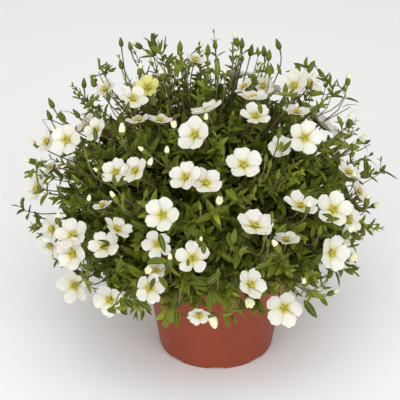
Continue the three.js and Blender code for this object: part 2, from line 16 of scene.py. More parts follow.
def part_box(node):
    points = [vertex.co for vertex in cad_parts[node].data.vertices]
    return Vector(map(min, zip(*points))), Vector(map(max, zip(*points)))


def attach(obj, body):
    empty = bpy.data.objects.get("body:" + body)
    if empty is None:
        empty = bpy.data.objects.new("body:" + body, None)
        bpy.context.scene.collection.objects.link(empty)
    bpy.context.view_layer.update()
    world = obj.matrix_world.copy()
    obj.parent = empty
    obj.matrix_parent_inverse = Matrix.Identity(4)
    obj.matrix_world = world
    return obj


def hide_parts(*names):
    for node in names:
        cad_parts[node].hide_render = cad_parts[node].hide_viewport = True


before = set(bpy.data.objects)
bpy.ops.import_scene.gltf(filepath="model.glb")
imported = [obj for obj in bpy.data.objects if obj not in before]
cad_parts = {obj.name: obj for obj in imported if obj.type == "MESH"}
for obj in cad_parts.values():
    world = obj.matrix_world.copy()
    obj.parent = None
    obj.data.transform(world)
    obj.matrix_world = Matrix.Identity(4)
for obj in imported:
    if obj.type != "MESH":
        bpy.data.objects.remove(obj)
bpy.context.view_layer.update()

LOG = logging.getLogger("sandwort")
MM = 0.001
BODY = "root"
UPRIGHT = Vector((0, 0, 1))
RIGHT = Vector((1, 0, 0))
TURN = 2 * math.pi
GOLDEN_TURN = math.pi * (3 - math.sqrt(5))
SHARP = math.radians(40)
NEARLY_NOTHING = 1e-4
CREAM_NODE = 2

# The sockets of a Mix node that mixes colours
MIX_SHARE, MIX_FIRST, MIX_SECOND, MIX_RESULT = 0, 6, 7, 2

Colour = tuple[float, float, float]
Range = tuple[float, float]
Point = Vector
Profile = Sequence[tuple[float, float]]
Mesh = bmesh.types.BMesh
Corner = bmesh.types.BMVert
Edge = bmesh.types.BMEdge
Face = bmesh.types.BMFace
Material = bpy.types.Material


def paint(red: float, green: float, blue: float) -> Colour:
    """A colour as the eye names it, 0 to 255, turned into the linear values that a shader takes."""
    parts = [part / 255 for part in (red, green, blue)]
    return tuple(p / 12.92 if p <= 0.04045 else ((p + 0.055) / 1.055) ** 2.4 for p in parts)


class Slot(Enum):
    """The record's material slots."""

    POT = "pot_plastic"
    COMPOST = "compost"
    FOLIAGE = "foliage"
    WHITE = "white_petals"
    CREAM = "cream_petals"


# Shader maths


class Value:
    """A shader value that Python's operators turn into Math nodes."""

    def __init__(self, shader: "Shader", socket: bpy.types.NodeSocket) -> None:
        """Wraps one output socket."""
        self.shader = shader
        self.socket = socket

    def _math(self, operation: str, *values: "Value | float") -> "Value":
        """Adds a Math node over some values."""
        return self.shader.node("ShaderNodeMath", {"operation": operation}, dict(enumerate(values)))

    def __add__(self, other: "Value | float") -> "Value":
        """self + other."""
        return self._math("ADD", self, other)

    __radd__ = __add__

    def __sub__(self, other: "Value | float") -> "Value":
        """self - other."""
        return self._math("SUBTRACT", self, other)

    def __rsub__(self, other: float) -> "Value":
        """other - self."""
        return self._math("SUBTRACT", other, self)

    def __mul__(self, other: "Value | float") -> "Value":
        """self * other."""
        return self._math("MULTIPLY", self, other)

    __rmul__ = __mul__

    def __pow__(self, other: float) -> "Value":
        """self ** other."""
        return self._math("POWER", self, other)

    def wave(self) -> "Value":
        """A sine of this value, from 0 to 1."""
        return self._math("SINE", self) * 0.5 + 0.5

    def gap_to(self, other: float) -> "Value":
        """How far this value is from a number."""
        return self._math("ABSOLUTE", self - other)


class Shader:
    """One material's node tree, with its Principled shader."""

    def __init__(self, name: str) -> None:
        """Starts a material that holds a Principled shader alone.

        Args:
            name: The material's name.
        """
        self.material = bpy.data.materials.new(name)
        self.material.use_nodes = True
        self.tree = self.material.node_tree
        self.surface = self.tree.nodes["Principled BSDF"]

    def node(self, kind: str, settings: dict[str, object] | None = None,
             inputs: dict[int | str, object] | None = None, output: int | str = 0) -> Value:
        """Adds one node.

        Args:
            kind: The node's type.
            settings: Its own settings, set before its sockets.
            inputs: Values or links for its sockets, by name or number.
            output: The socket that is returned.

        Returns:
            The chosen output.
        """
        made = self.tree.nodes.new(kind)
        for key, value in (settings or {}).items():
            setattr(made, key, value)
        for key, value in (inputs or {}).items():
            self.feed(made.inputs[key], value)
        return Value(self, made.outputs[output])

    def feed(self, socket: bpy.types.NodeSocket, value: object) -> None:
        """Sets a socket, or links it to another node's output.

        Args:
            socket: The socket.
            value: A number, colour, vector or output.
        """
        if isinstance(value, Value):
            self.tree.links.new(value.socket, socket)
        elif isinstance(value, tuple) and socket.type == "RGBA":
            socket.default_value = (*value, 1)
        else:
            socket.default_value = value

    def dress(self, **values: object) -> Material:
        """Sets sockets of the Principled shader.

        Args:
            values: Values or links by the sockets' names, with an underscore for a space.

        Returns:
            The finished material.
        """
        for name, value in values.items():
            self.feed(self.surface.inputs[name.replace("_", " ")], value)
        return self.material

    def attribute(self, name: str) -> Value:
        """A number that the mesh carries at each point."""
        return self.node("ShaderNodeAttribute", {"attribute_name": name}, output="Fac")

    def across_and_along(self) -> tuple[Value, Value]:
        """How far across and along a leaf or petal, 0 to 1: the mesh's own pattern coordinates."""
        pattern = {"Vector": self.node("ShaderNodeUVMap", {"uv_map": "pattern"})}
        return tuple(self.node("ShaderNodeSeparateXYZ", None, pattern, axis) for axis in "XY")

    def speckle(self, scale: float, detail: float = 3, roughness: float = 0.5) -> Value:
        """Smooth random cloud on the object's own coordinates.

        Args:
            scale: How many cells it has to a metre.
            detail: How many finer clouds are laid over it.
            roughness: How strong the finer ones are.

        Returns:
            A value from 0 to 1.
        """
        coordinates = self.node("ShaderNodeTexCoord", output="Object")
        place = self.node("ShaderNodeMapping", None, {"Vector": coordinates})
        inputs = {"Vector": place, "Scale": scale, "Detail": detail, "Roughness": roughness}
        return self.node("ShaderNodeTexNoise", None, inputs, "Fac")

    def stretch(self, value: Value, low: float, high: float) -> Value:
        """A value from low to high spread over 0 to 1 and held there."""
        inputs = {"Value": value, "From Min": low, "From Max": high}
        return self.node("ShaderNodeMapRange", {"clamp": True}, inputs, "Result")

    def blend(self, share: Value | float, first: object, second: object) -> Value:
        """Mixes two colours."""
        inputs = {MIX_SHARE: share, MIX_FIRST: first, MIX_SECOND: second}
        return self.node("ShaderNodeMix", {"data_type": "RGBA"}, inputs, MIX_RESULT)

    def bumped(self, height: Value, strength: float, distance: float) -> Value:
        """A normal that a height map has bumped."""
        inputs = {"Strength": strength, "Distance": distance, "Height": height}
        return self.node("ShaderNodeBump", None, inputs)


@dataclass(frozen=True)
class CloudedFinish:
    """An even colour that is only clouded a little: moulded plastic, or a small part of a bloom."""

    name: str
    colour: Colour
    second: Colour
    cells: float = 900
    detail: float = 3
    roughness: float = 0.6
    rough_play: float = 0
    grain: float = 900
    grain_detail: float = 3
    bump: float = 0.2
    shine: float = 0.5

    def material(self) -> Material:
        """Makes the material.

        Returns:
            The material.
        """
        shader = Shader(self.name)
        cloud = shader.speckle(self.cells, self.detail)
        rough = self.roughness
        if self.rough_play:
            rough = cloud * self.rough_play + (self.roughness - self.rough_play / 2)
        return shader.dress(
            Base_Color=shader.blend(shader.stretch(cloud, 0.35, 0.65), self.colour, self.second),
            Roughness=rough,
            Normal=shader.bumped(shader.speckle(self.grain, self.grain_detail), self.bump, 0.1 * MM),
            Specular_IOR_Level=self.shine,
        )


@dataclass(frozen=True)
class CompostFinish:
    """Dark moist peat compost with paler fibres."""

    name: str = "peat_compost"
    dark: Colour = paint(38, 27, 19)
    light: Colour = paint(92, 70, 48)
    crumbs: float = 420
    fibres: float = 1400

    def material(self) -> Material:
        """Makes the material.

        Returns:
            The material.
        """
        shader = Shader(self.name)
        crumb = shader.speckle(self.crumbs, 6, 0.7)
        fibre = shader.speckle(self.fibres, 3)
        mixed = shader.stretch(crumb * 0.7 + fibre * 0.3, 0.4, 0.68)
        return shader.dress(
            Base_Color=shader.blend(mixed, self.dark, self.light),
            Roughness=0.92,
            Normal=shader.bumped(crumb, 0.8, 0.8 * MM),
        )


@dataclass(frozen=True)
class LeafFinish:
    """Green leaves, each of its own tone, with a paler midrib and rim and a greyer underside."""

    name: str
    dark: Colour
    middle: Colour
    light: Colour
    under: Colour
    midrib: Colour
    roughness: float = 0.56
    shine: float = 0.22
    mottles: float = 260

    def material(self) -> Material:
        """Makes the material.

        Returns:
            The material.
        """
        shader = Shader(self.name)
        across, along = shader.across_and_along()
        mottle = shader.speckle(self.mottles, 2)
        tone = shader.attribute("tone") + (mottle - 0.5) * 0.3 + (along - 0.5) * 0.12
        low = shader.blend(shader.stretch(tone, 0, 0.5), self.dark, self.middle)
        green = shader.blend(shader.stretch(tone, 0.5, 1), low, self.light)
        away = across.gap_to(0.5) * 2
        rib = shader.stretch(away, 0.18, 0.04) * 0.6 + shader.stretch(away, 0.78, 0.98) * 0.45
        ribbed = shader.blend(rib, green, self.midrib)
        return shader.dress(
            Base_Color=shader.blend(shader.attribute("under") * 0.7, ribbed, self.under),
            Roughness=mottle * 0.12 + self.roughness,
            Normal=shader.bumped(away + mottle * 0.2, 0.35, 0.2 * MM),
            Specular_IOR_Level=self.shine,
        )


@dataclass(frozen=True)
class StemFinish:
    """Thin stems: reddish brown and woody at the foot, green near the tip."""

    name: str = "stem"
    wood: Colour = paint(66, 56, 30)
    russet: Colour = paint(108, 84, 52)
    green: Colour = paint(120, 122, 60)
    patches: float = 300
    fibres: float = 2500

    def material(self) -> Material:
        """Makes the material.

        Returns:
            The material.
        """
        shader = Shader(self.name)
        tone = shader.attribute("tone")
        patch = (shader.speckle(self.patches, 2) - 0.5) * 0.7
        aged = shader.blend(tone, self.wood, self.russet)
        grown = shader.stretch(shader.attribute("young") + patch + (tone - 0.5) * 0.5, 0.35, 0.85)
        return shader.dress(
            Base_Color=shader.blend(grown, aged, self.green),
            Roughness=0.62,
            Normal=shader.bumped(shader.speckle(self.fibres, 2), 0.3, 0.1 * MM),
        )


@dataclass(frozen=True)
class PetalFinish:
    """Satin petals with faint veins, a yellow-green throat, and greenish grey sides at the foot: partly the
    thin petal's own tint, partly painted shade where the petals overlap.
    """

    name: str
    colour: Colour
    veined: Colour
    side: Colour
    throat: Colour
    veins: int = 7
    vein_wander: float = 2.2
    clouds: float = 170
    glow: float = 0.85
    depth: float = 0.9 * MM
    glow_tint: Colour = (1, 1, 0.8)

    def material(self) -> Material:
        """Makes the material.

        Returns:
            The material.
        """
        shader = Shader(self.name)
        across, along = shader.across_and_along()
        wander = shader.speckle(420, 2) * self.vein_wander
        vein = (across * (TURN * self.veins) + wander).wave() ** 4
        cloud = shader.speckle(self.clouds, 3)
        fading = shader.stretch(along, 1.05, 0.3)
        cloth = shader.blend(vein * fading * 0.3 + (cloud - 0.5) * 0.5, self.colour, self.veined)
        # Painted shade: the sides near the petal's foot turn greenish grey, partly the thin petal's own
        # tint and partly the shade where the petals overlap.
        edge = shader.stretch(across.gap_to(0.5) * 2, 0.55, 1) * shader.stretch(along, 0.82, 0.2)
        shaded = shader.blend(edge * 0.65, cloth, self.side)
        deep = shader.stretch(along + (cloud - 0.5) * 0.14, 0.44, 0.08) ** 1.4
        return shader.dress(
            Base_Color=shader.blend(deep, shaded, self.throat),
            Roughness=0.55 + vein * 0.1,
            Normal=shader.bumped(vein * fading + cloud * 0.6, 0.4, 0.25 * MM),
            Specular_IOR_Level=0.2,
            Subsurface_Weight=self.glow,
            Subsurface_Scale=self.depth,
            Subsurface_Radius=self.glow_tint,
        )


TERRACOTTA_PLASTIC = CloudedFinish(
    name="terracotta_plastic",
    colour=paint(142, 62, 37),
    second=paint(133, 57, 33),
    cells=28,
    detail=4,
    roughness=0.5,
    rough_play=0.16,
    grain_detail=2,
    bump=0.08,
    shine=0.3,
)
OUTER_LEAF = LeafFinish(
    name="leaf",
    dark=paint(54, 65, 5),
    middle=paint(90, 100, 12),
    light=paint(130, 138, 34),
    under=paint(110, 117, 42),
    midrib=paint(144, 149, 64),
)
# Painted shade: the leaves inside the bush take this darker copy of the leaf finish, for the shade inside
# the bush.
SHADED_INNER_LEAF = LeafFinish(
    name="shaded_inner_leaf",
    dark=paint(50, 60, 4),
    middle=paint(72, 82, 8),
    light=paint(94, 104, 16),
    under=paint(82, 90, 24),
    midrib=paint(104, 112, 34),
)
# The white and cream petals' side colour is greenish grey: partly the thin petal's own tint at its foot,
# partly painted shade where the petals overlap.
WHITE_PETAL = PetalFinish(
    name="white_petal",
    colour=paint(214, 211, 200),
    veined=paint(184, 182, 166),
    side=paint(176, 176, 138),
    throat=paint(202, 194, 68),
)
CREAM_PETAL = PetalFinish(
    name="cream_petal",
    colour=paint(208, 204, 128),
    veined=paint(182, 176, 94),
    side=paint(158, 156, 70),
    throat=paint(170, 158, 38),
)
BUD_PETAL = PetalFinish(
    name="bud_petal",
    colour=paint(222, 219, 186),
    veined=paint(196, 194, 130),
    side=paint(178, 180, 110),
    throat=paint(150, 154, 50),
)
ANTHER = CloudedFinish("anther", paint(184, 162, 30), paint(204, 186, 66))
GREEN_MIDDLE = CloudedFinish("green_middle", paint(132, 134, 28), paint(160, 156, 40))


# Building meshes


def begin() -> Mesh:
    """An empty mesh with the pattern coordinates and the numbers that the finishes read.

    Returns:
        The mesh.
    """
    made = bmesh.new()
    made.loops.layers.uv.new("pattern")
    for name in ("tone", "under", "young"):
        made.verts.layers.float.new(name)
    return made


def mark(mesh: Mesh, points: Iterable[Corner], **numbers: float) -> None:
    """Gives points of a mesh the numbers that the finishes read.

    Args:
        mesh: The mesh.
        points: The points.
        numbers: The numbers by their names.
    """
    layers = [(mesh.verts.layers.float[name], value) for name, value in numbers.items()]
    for point in points:
        for layer, value in layers:
            point[layer] = value


def lay_pattern(mesh: Mesh, faces: Iterable[Face], where: Callable[[Point], Range]) -> None:
    """Gives faces their pattern coordinates.

    Args:
        mesh: The mesh that they are in.
        faces: The faces.
        where: Works out how far across and along a point of theirs is.
    """
    pattern = mesh.loops.layers.uv["pattern"]
    for face in faces:
        for loop in face.loops:
            loop[pattern].uv = where(loop.vert.co)


def frame_at(origin: Point, along: Vector, side: Vector) -> Matrix:
    """The place that puts a shape's +Z along one direction and its +X towards another.

    Args:
        origin: Where the shape's own origin goes.
        along: The direction of its +Z.
        side: The direction that its +X is turned towards.

    Returns:
        The place as a matrix.
    """
    z = along.normalized()
    x = (side - z * side.dot(z)).normalized()
    turned_to = Matrix((x, z.cross(x), z)).transposed().to_4x4()
    return Matrix.Translation(origin) @ turned_to


def side_at(along: Vector, turn: float) -> Vector:
    """The direction square to another at a turn about it."""
    side = (UPRIGHT if abs(along.z) < 0.9 else RIGHT).cross(along).normalized()
    return Matrix.Rotation(turn, 3, along.normalized()) @ side


def curve_point(path: Sequence[Point], t: float) -> Point:
    """A point of the curve that three points guide, from its foot at 0 to its tip at 1."""
    foot, bend, tip = path
    return foot * (1 - t) ** 2 + bend * (2 * t * (1 - t)) + tip * t**2


def curve_way(path: Sequence[Point], t: float) -> Vector:
    """The direction in which that curve runs at a height."""
    foot, bend, tip = path
    return ((bend - foot) * (1 - t) + (tip - bend) * t).normalized()


def curve_length(path: Sequence[Point]) -> float:
    """The length of that curve."""
    points = [curve_point(path, i / 8) for i in range(9)]
    return sum((b - a).length for a, b in zip(points, points[1:]))


def edges_among(ring: Sequence[Corner]) -> list[Edge]:
    """The edges that join the points of a ring to each other."""
    edges = dict.fromkeys(edge for point in ring for edge in point.link_edges)
    return [edge for edge in edges if all(point in ring for point in edge.verts)]


def add_tube(mesh: Mesh, path: Sequence[Point], radii: Profile, sides: int, tone: float,
             youngest: Range = (0, 1)) -> None:
    """Adds a thin closed stem along a curve.

    Args:
        mesh: The mesh that it is added to.
        path: The curve's foot, bend and tip.
        radii: Heights along the curve, 0 to 1, and the radius at each.
        sides: How many sides the stem has.
        tone: The stem's own tone, 0 to 1.
        youngest: How young the stem is at its foot and at its tip, 0 to 1.
    """
    side = side_at(curve_way(path, 0), tone * TURN)
    ring = bmesh.ops.create_circle(mesh, cap_ends=True, radius=1, segments=sides)["verts"]
    cap = {face for point in ring for face in point.link_faces}
    bmesh.ops.reverse_faces(mesh, faces=list(cap))
    place = Matrix()
    for i, (height, radius) in enumerate(radii):
        if i:
            grown = bmesh.ops.extrude_edge_only(mesh, edges=edges_among(ring))["geom"]
            ring = [item for item in grown if isinstance(item, Corner)]
        target = frame_at(curve_point(path, height), curve_way(path, height), side)
        target = target @ Matrix.Scale(radius, 4)
        bmesh.ops.transform(mesh, matrix=target @ place.inverted(), verts=ring)
        place = target
        mark(mesh, ring, tone=tone, young=youngest[0] + (youngest[1] - youngest[0]) * height)
    bmesh.ops.edgeloop_fill(mesh, edges=edges_among(ring))


def tapered(radius: float, steps: int, foot: float, loss: float) -> list[Range]:
    """Heights along a stem and its radius there, from a share at its foot to less at its tip."""
    return [(t / steps, radius * (foot - loss * t / steps)) for t in range(steps + 1)]


def turned(mesh: Mesh, profile: Profile, sides: int) -> None:
    """Adds a shape turned about +Z.

    Args:
        mesh: The mesh that it is added to.
        profile: Radius and height in millimetres, from axis to axis or round to its start.
        sides: How many sides the turned shape has.
    """
    points = [mesh.verts.new((0, -radius * MM, height * MM)) for radius, height in profile]
    edges = [mesh.edges.new(pair) for pair in zip(points, points[1:])]
    around = {"cent": (0, 0, 0), "axis": (0, 0, 1), "angle": TURN, "steps": sides}
    bmesh.ops.spin(mesh, geom=points + edges, use_merge=True, **around)
    bmesh.ops.remove_doubles(mesh, verts=mesh.verts, dist=0.001 * MM)


class Template:
    """A small shape made once, which is copied many times with a place and a tone of its own."""

    def __init__(self, name: str, shape: Mesh) -> None:
        """Keeps a finished shape.

        Args:
            name: What the shape is called.
            shape: The mesh, whose faces are turned outwards and which is freed here.
        """
        bmesh.ops.recalc_face_normals(shape, faces=shape.faces)
        self.mesh = bpy.data.meshes.new(name)
        shape.to_mesh(self.mesh)
        shape.free()
        self.points = [vertex.co.copy() for vertex in self.mesh.vertices]

    def add_to(self, mesh: Mesh, place: Matrix, tone: float) -> None:
        """Adds one copy to a mesh.

        Args:
            mesh: The mesh that it is added to.
            place: Where the copy goes, with its size.
            tone: The copy's own tone, 0 to 1.
        """
        flat = [number for point in self.points for number in place @ point]
        self.mesh.vertices.foreach_set("co", flat)
        self.mesh.attributes["tone"].data.foreach_set("value", [tone] * len(self.points))
        mesh.from_mesh(self.mesh)


def put_in_scene(name: str, data: bpy.types.ID) -> bpy.types.Object:
    """Makes an object of a mesh, light or camera and puts it in the scene.

    Args:
        name: The object's name.
        data: What it shows.

    Returns:
        The object.
    """
    made = bpy.data.objects.new(name, data)
    bpy.context.scene.collection.objects.link(made)
    return made


def finish_piece(name: str, mesh: Mesh, finishes: Sequence[Material], slot: Slot, *nodes: str) -> None:
    """Turns a mesh into a piece of the part that rides on its body.

    Args:
        name: The piece's name.
        mesh: Its mesh, in place, which is freed here.
        finishes: Its materials, in the order of the faces' numbers.
        slot: The record's slot for its finish; not used.
        nodes: The solids that it stands for.
    """
    for face in mesh.faces:
        face.smooth = True
    for edge in mesh.edges:
        edge.smooth = edge.calc_face_angle(0) < SHARP
    data = bpy.data.meshes.new(name)
    mesh.to_mesh(data)
    mesh.free()
    for finish in finishes:
        data.materials.append(finish)
    piece = put_in_scene(name, data)
    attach(piece, BODY)
    if nodes:
        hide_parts(*nodes)
    LOG.info("%s: %d triangles", name, sum(len(face.vertices) - 2 for face in data.polygons))


# Where things are


class SeededNumbers:
    """The seeded numbers that the solids' placement draws, in the same order."""

    stride = 0x6D2B79F5
    whole = 0xFFFFFFFF

    def __init__(self, seed: int) -> None:
        """Starts the row of numbers."""
        self.seed = seed

    def draw(self) -> float:
        """The next number.

        Returns:
            A number from 0 to 1.
        """
        self.seed = (self.seed + self.stride) & self.whole
        t = ((self.seed ^ (self.seed >> 15)) * (1 | self.seed)) & self.whole
        t = ((t + (((t ^ (t >> 7)) * (61 | t)) & self.whole)) ^ t) & self.whole
        return ((t ^ (t >> 14)) & self.whole) / (self.whole + 1)

    def between(self, low: float, high: float) -> float:
        """The next number, from low to high."""
        return low + (high - low) * self.draw()


@dataclass(frozen=True)
class Picture:
    """The picture that the blooms were placed by: 400 units square, seen from the front."""

    tilt: float = math.radians(28.2)
    unit: float = 0.71 * MM
    foot_across: float = 216
    foot_down: float = 338.5
    size: float = 400
    distance: float = 1.3

    @property
    def up(self) -> Vector:
        """The way that is up in the picture."""
        return Vector((0, math.sin(self.tilt), math.cos(self.tilt)))

    @property
    def nearer(self) -> Vector:
        """The way that is towards the eye."""
        return Vector((0, -math.cos(self.tilt), math.sin(self.tilt)))

    @property
    def eye(self) -> Point:
        """Where the picture is seen from."""
        return self.nearer * self.distance - self._off_middle(self.foot_across, self.foot_down)

    def _off_middle(self, across: float, down: float) -> Vector:
        """How far a place in the picture is from its middle."""
        middle = self.size / 2
        return RIGHT * ((across - middle) * self.unit) + self.up * ((middle - down) * self.unit)

    def ray(self, across: float, down: float) -> Vector:
        """The way from the eye through a place in the picture."""
        return (self._off_middle(across, down) - self.nearer * self.distance).normalized()

    def beside(self, point: Point, across: float, down: float) -> Point:
        """The point that another place in the picture shows as far away as a given point."""
        ray = self.ray(across, down)
        return self.eye + ray * ((point - self.eye).dot(self.nearer) / ray.dot(self.nearer))

    def towards(self, right: float, up: float, nearer: float) -> Vector:
        """A direction given by how far it points right, up and nearer."""
        return (RIGHT * right + self.up * up + self.nearer * nearer).normalized()

    def lens(self, sensor: float) -> float:
        """The focal length that frames the picture on a sensor of a width."""
        return self.distance * sensor / (self.size * self.unit)


@dataclass(frozen=True)
class Crown:
    """The dome that the tips of the shoots reach."""

    middle: Point = field(default_factory=lambda: Vector((-8, 0, 111.5)) * MM)
    right: float = 122 * MM
    back: float = 116 * MM
    up: float = 110 * MM
    down: float = 72 * MM
    steps: int = 200

    def level(self, point: Point) -> float:
        """Where a point is against the dome.

        Args:
            point: The point.

        Returns:
            Below 1 inside the dome, and 1 on it.
        """
        p = point - self.middle
        height = self.up if p.z > 0 else self.down
        return Vector((p.x / self.right, p.y / self.back, p.z / height)).length

    def on(self, direction: Vector, level: float) -> Point:
        """The point in a direction from the dome's middle.

        Args:
            direction: The direction.
            level: The share of the way out to the dome.

        Returns:
            The point.
        """
        height = self.up if direction.z > 0 else self.down
        reach = Vector((self.right * direction.x, self.back * direction.y, height * direction.z))
        return self.middle + reach * level

    def seen(self, picture: Picture, across: float, down: float, out: float) -> Point:
        """The point of the dome that a place in the picture shows, or the nearest to it.

        Args:
            picture: The picture.
            across: The place, from the picture's left side.
            down: The place, from the picture's top.
            out: How far the point stands out of the dome, towards the eye.

        Returns:
            The point.
        """
        ray = picture.ray(across, down)
        best, best_level = picture.distance, math.inf
        for step in range(-self.steps, self.steps):
            t = picture.distance + step * MM
            level = self.level(picture.eye + ray * t)
            if level < best_level:
                best, best_level = t, level
            if best_level <= 1:
                break
        return picture.eye + ray * (best - out)


def spread(i: float, count: int, lowest: float) -> Vector:
    """A direction of the golden-angle spread, from straight up down to a lowest height.

    Args:
        i: The direction's number.
        count: How many there are.
        lowest: The height of the lowest, -1 to 1.

    Returns:
        The direction.
    """
    z = 1 - ((i + 0.5) / count) * (1 - lowest)
    return round_z(i * GOLDEN_TURN, z, math.sqrt(1 - z * z))


def risen(direction: Vector, share: float) -> Vector:
    """A direction turned upwards by a share."""
    return (direction + UPRIGHT * share).normalized()


def round_z(turn: float, height: float = 0, reach: float = 1) -> Vector:
    """The point at a turn about +Z, with its height and its distance from the axis."""
    return Vector((reach * math.cos(turn), reach * math.sin(turn), height))


@dataclass(frozen=True)
class Bloom:
    """Where one bloom is, how big it is and the way that it faces."""

    cup = 0.32
    middle: Point
    radius: float
    facing: Vector
    side: Vector
    hidden: bool = False

    @property
    def throat(self) -> Point:
        """The foot of the petals."""
        return self.middle - self.facing * (self.cup * self.radius)

    @property
    def place(self) -> Matrix:
        """The place whose +Z is the way that the bloom faces."""
        return frame_at(self.throat, self.facing, self.side)

    def petal_height(self, reach: float) -> float:
        """How high the petals stand over the throat at a distance from it."""
        return self.cup * reach * reach / self.radius


@dataclass
class BloomPlaces:
    """The places of all the blooms, node by node, as in the solids."""

    picture: Picture
    crown: Crown
    seed: int = 20417
    hidden_out: float = -9
    far_together: int = 3
    far_bend: Range = (60, 110)
    far_overlap: float = 4.5 * MM
    far_spread: float = 0.25
    far_radius: Range = (9.5, 14)
    far_rise: float = 0.25
    least_facing: float = 0.02

    # Blooms seen from the front, each node in its own brackets. A bloom is: across, down, width, how far it
    # faces right and up (0 straight at the eye, 1 square to it), how far it stands out (mm), and the
    # way that one of its petals points in the picture (degrees on from the right).
    seen = (
        ((134, 96, 31, 0.3, 0.6, 0, 58),), ((147, 86, 25, -0.2, 0.35, -16, 20),),
        ((65, 139, 32, -0.25, 0.1, 2, 3),), ((94, 129, 27, -0.55, 0.45, -1, 37),),
        ((45, 141, 25, -0.6, 0.3, -20, 30),), ((34, 188, 29, -0.75, 0.15, -4, 25),),
        ((114, 170, 30, -0.4, 0.5, -1, 10), (133, 169, 31, -0.5, 0.5, 0, 35)),
        ((119, 226, 32, 0.45, 0.75, 0, 90),), ((104, 244, 33, -0.1, 0.5, 4, 38),),
        ((71, 233, 36, -0.3, 0.5, 2, 33), (70, 254, 35, -0.5, 0, 8, 0)),
        ((49, 229, 31, -0.75, 0.05, -16, 30), (48, 247, 27, -0.6, -0.5, -16, 20)),
        ((72, 287, 37, -0.45, -0.25, 0, 33),), ((108, 302, 36, -0.35, -0.35, 4, 40),),
        ((151, 289, 33, 0.35, -0.2, 2, 3),), ((156, 270, 20, 0.2, 0.2, -12, 30),),
        ((102, 204, 22, -0.3, 0.9, -10, 20),), ((49, 167, 18, -0.8, 0.5, -18, 10),),
        ((104, 88, 24, -0.5, 0.6, -24, 20),), ((196, 58, 22, 0.3, 0.85, -14, 90),),
        ((206, 106, 35, -0.35, 0.9, -6, 20),), ((192, 133, 37, -0.5, 0.3, 3, 15),),
        ((243, 85, 22, -0.6, 0.7, -20, 20),), ((253, 94, 32, 0.05, 0.95, -8, 10),),
        ((256, 113, 32, 0.1, 0.7, -1, 25),), ((264, 85, 22, 0.3, 0.5, -26, 30),),
        ((138, 118, 26, -0.2, 0.93, -14, 20), (160, 118, 25, 0.1, 0.93, -16, 40)),
        ((292, 84, 33, -0.5, 0.4, -3, 20),), ((311, 81, 26, 0.6, 0.6, -12, 30),),
        ((297, 109, 30, 0.1, 0.93, -6, 10),), ((306, 137, 36, 0.25, 0.1, 3, 3),),
        ((280, 146, 25, -0.2, 0.4, -12, 30),),
        ((184, 175, 34, -0.3, 0.5, 3, 15), (206, 180, 35, 0.1, 0.65, 4, 35)),
        ((244, 162, 38, 0.05, 0.5, 2, 20),), ((161, 214, 37, -0.25, 0.2, 3, -2),),
        ((157, 245, 32, -0.1, -0.3, -4, 40),), ((192, 257, 36, -0.1, 0.3, 4, 22),),
        ((256, 222, 38, 0.2, 0.72, 4, 6),), ((253, 283, 33, 0.5, 0.4, 4, -13),),
        ((199, 317, 24, 0, -0.7, 2, 18),), ((284, 310, 39, -0.1, -0.3, 0, 4),),
        ((302, 202, 37, 0.25, 0.78, 2, 12),), ((335, 208, 38, 0.2, 0.3, 4, 3),),
        ((352, 218, 30, 0.75, 0.2, -10, 20),), ((350, 170, 27, 0.5, 0.7, -10, 30),),
        ((361, 191, 24, 0.8, 0.4, -20, 10),), ((287, 237, 28, 0.1, 0.9, -6, 30),),
        ((335, 253, 37, 0.6, 0, 0, 0),), ((347, 236, 22, 0.85, 0.1, -22, 20),),
    )
    # Blooms on the far side, in threes whose petals touch: degrees round from +X, degrees up, and how
    # far out they stand (1 on the crown).
    far = (
        (60, 46, 0.82), (122, 44, 0.82), (22, 26, 0.84), (70, 14, 0.95), (110, 18, 0.93),
        (156, 24, 0.84), (40, -10, 0.96), (90, -16, 1), (136, -12, 0.96),
    )

    def nodes(self) -> list[list[Bloom]]:
        """The blooms of every bloom node, in the nodes' order.

        Returns:
            One list of blooms to a node.
        """
        numbers = SeededNumbers(self.seed)
        near = [[self._seen(row) for row in rows] for rows in self.seen]
        return near + [self._far(row, numbers) for row in self.far]

    def _seen(self, row: Sequence[float]) -> Bloom:
        """One bloom that is seen from the front.

        Args:
            row: Its row of the table.

        Returns:
            The bloom.
        """
        across, down, width, right, up, out, turn = row
        middle = self.crown.seen(self.picture, across, down, out * MM)
        away = (middle - self.picture.eye).length / self.picture.distance
        nearer = math.sqrt(max(self.least_facing, 1 - right * right - up * up))
        cos, sin = math.cos(math.radians(turn)), math.sin(math.radians(turn))
        facing = self.picture.towards(right, up, nearer)
        side = self.picture.towards(cos, sin, -(cos * right + sin * up) / nearer)
        return Bloom(middle, width * self.picture.unit * away / 2, facing, side, out < self.hidden_out)

    def _far(self, row: Sequence[float], numbers: SeededNumbers) -> list[Bloom]:
        """Three blooms on the far side, in a bent row round one place of the crown.

        Args:
            row: Their row of the table.
            numbers: The seeded numbers that bend the row and turn the blooms.

        Returns:
            The blooms.
        """
        turn, rise, level = math.radians(row[0]), math.radians(row[1]), row[2]
        direction = round_z(turn, math.sin(rise), math.cos(rise))
        outward = risen(direction, self.far_rise)
        step = side_at(outward, numbers.between(0, TURN))
        bend = math.radians(numbers.between(*self.far_bend))
        radii = [numbers.between(*self.far_radius) * MM for _ in range(self.far_together)]
        places = [Vector()]
        for i, (before, radius) in enumerate(zip(radii, radii[1:])):
            way = Matrix.Rotation(i * bend, 3, outward) @ step
            places.append(places[-1] + way * (before + radius - self.far_overlap))
        centre = sum(places, Vector()) / self.far_together
        middle = self.crown.on(direction, level) - centre
        made = []
        for place, radius in zip(places, radii):
            facing = (outward + (place - centre).normalized() * self.far_spread).normalized()
            side = side_at(facing, numbers.between(0, TURN))
            made.append(Bloom(middle + place, radius, facing, side))
        return made


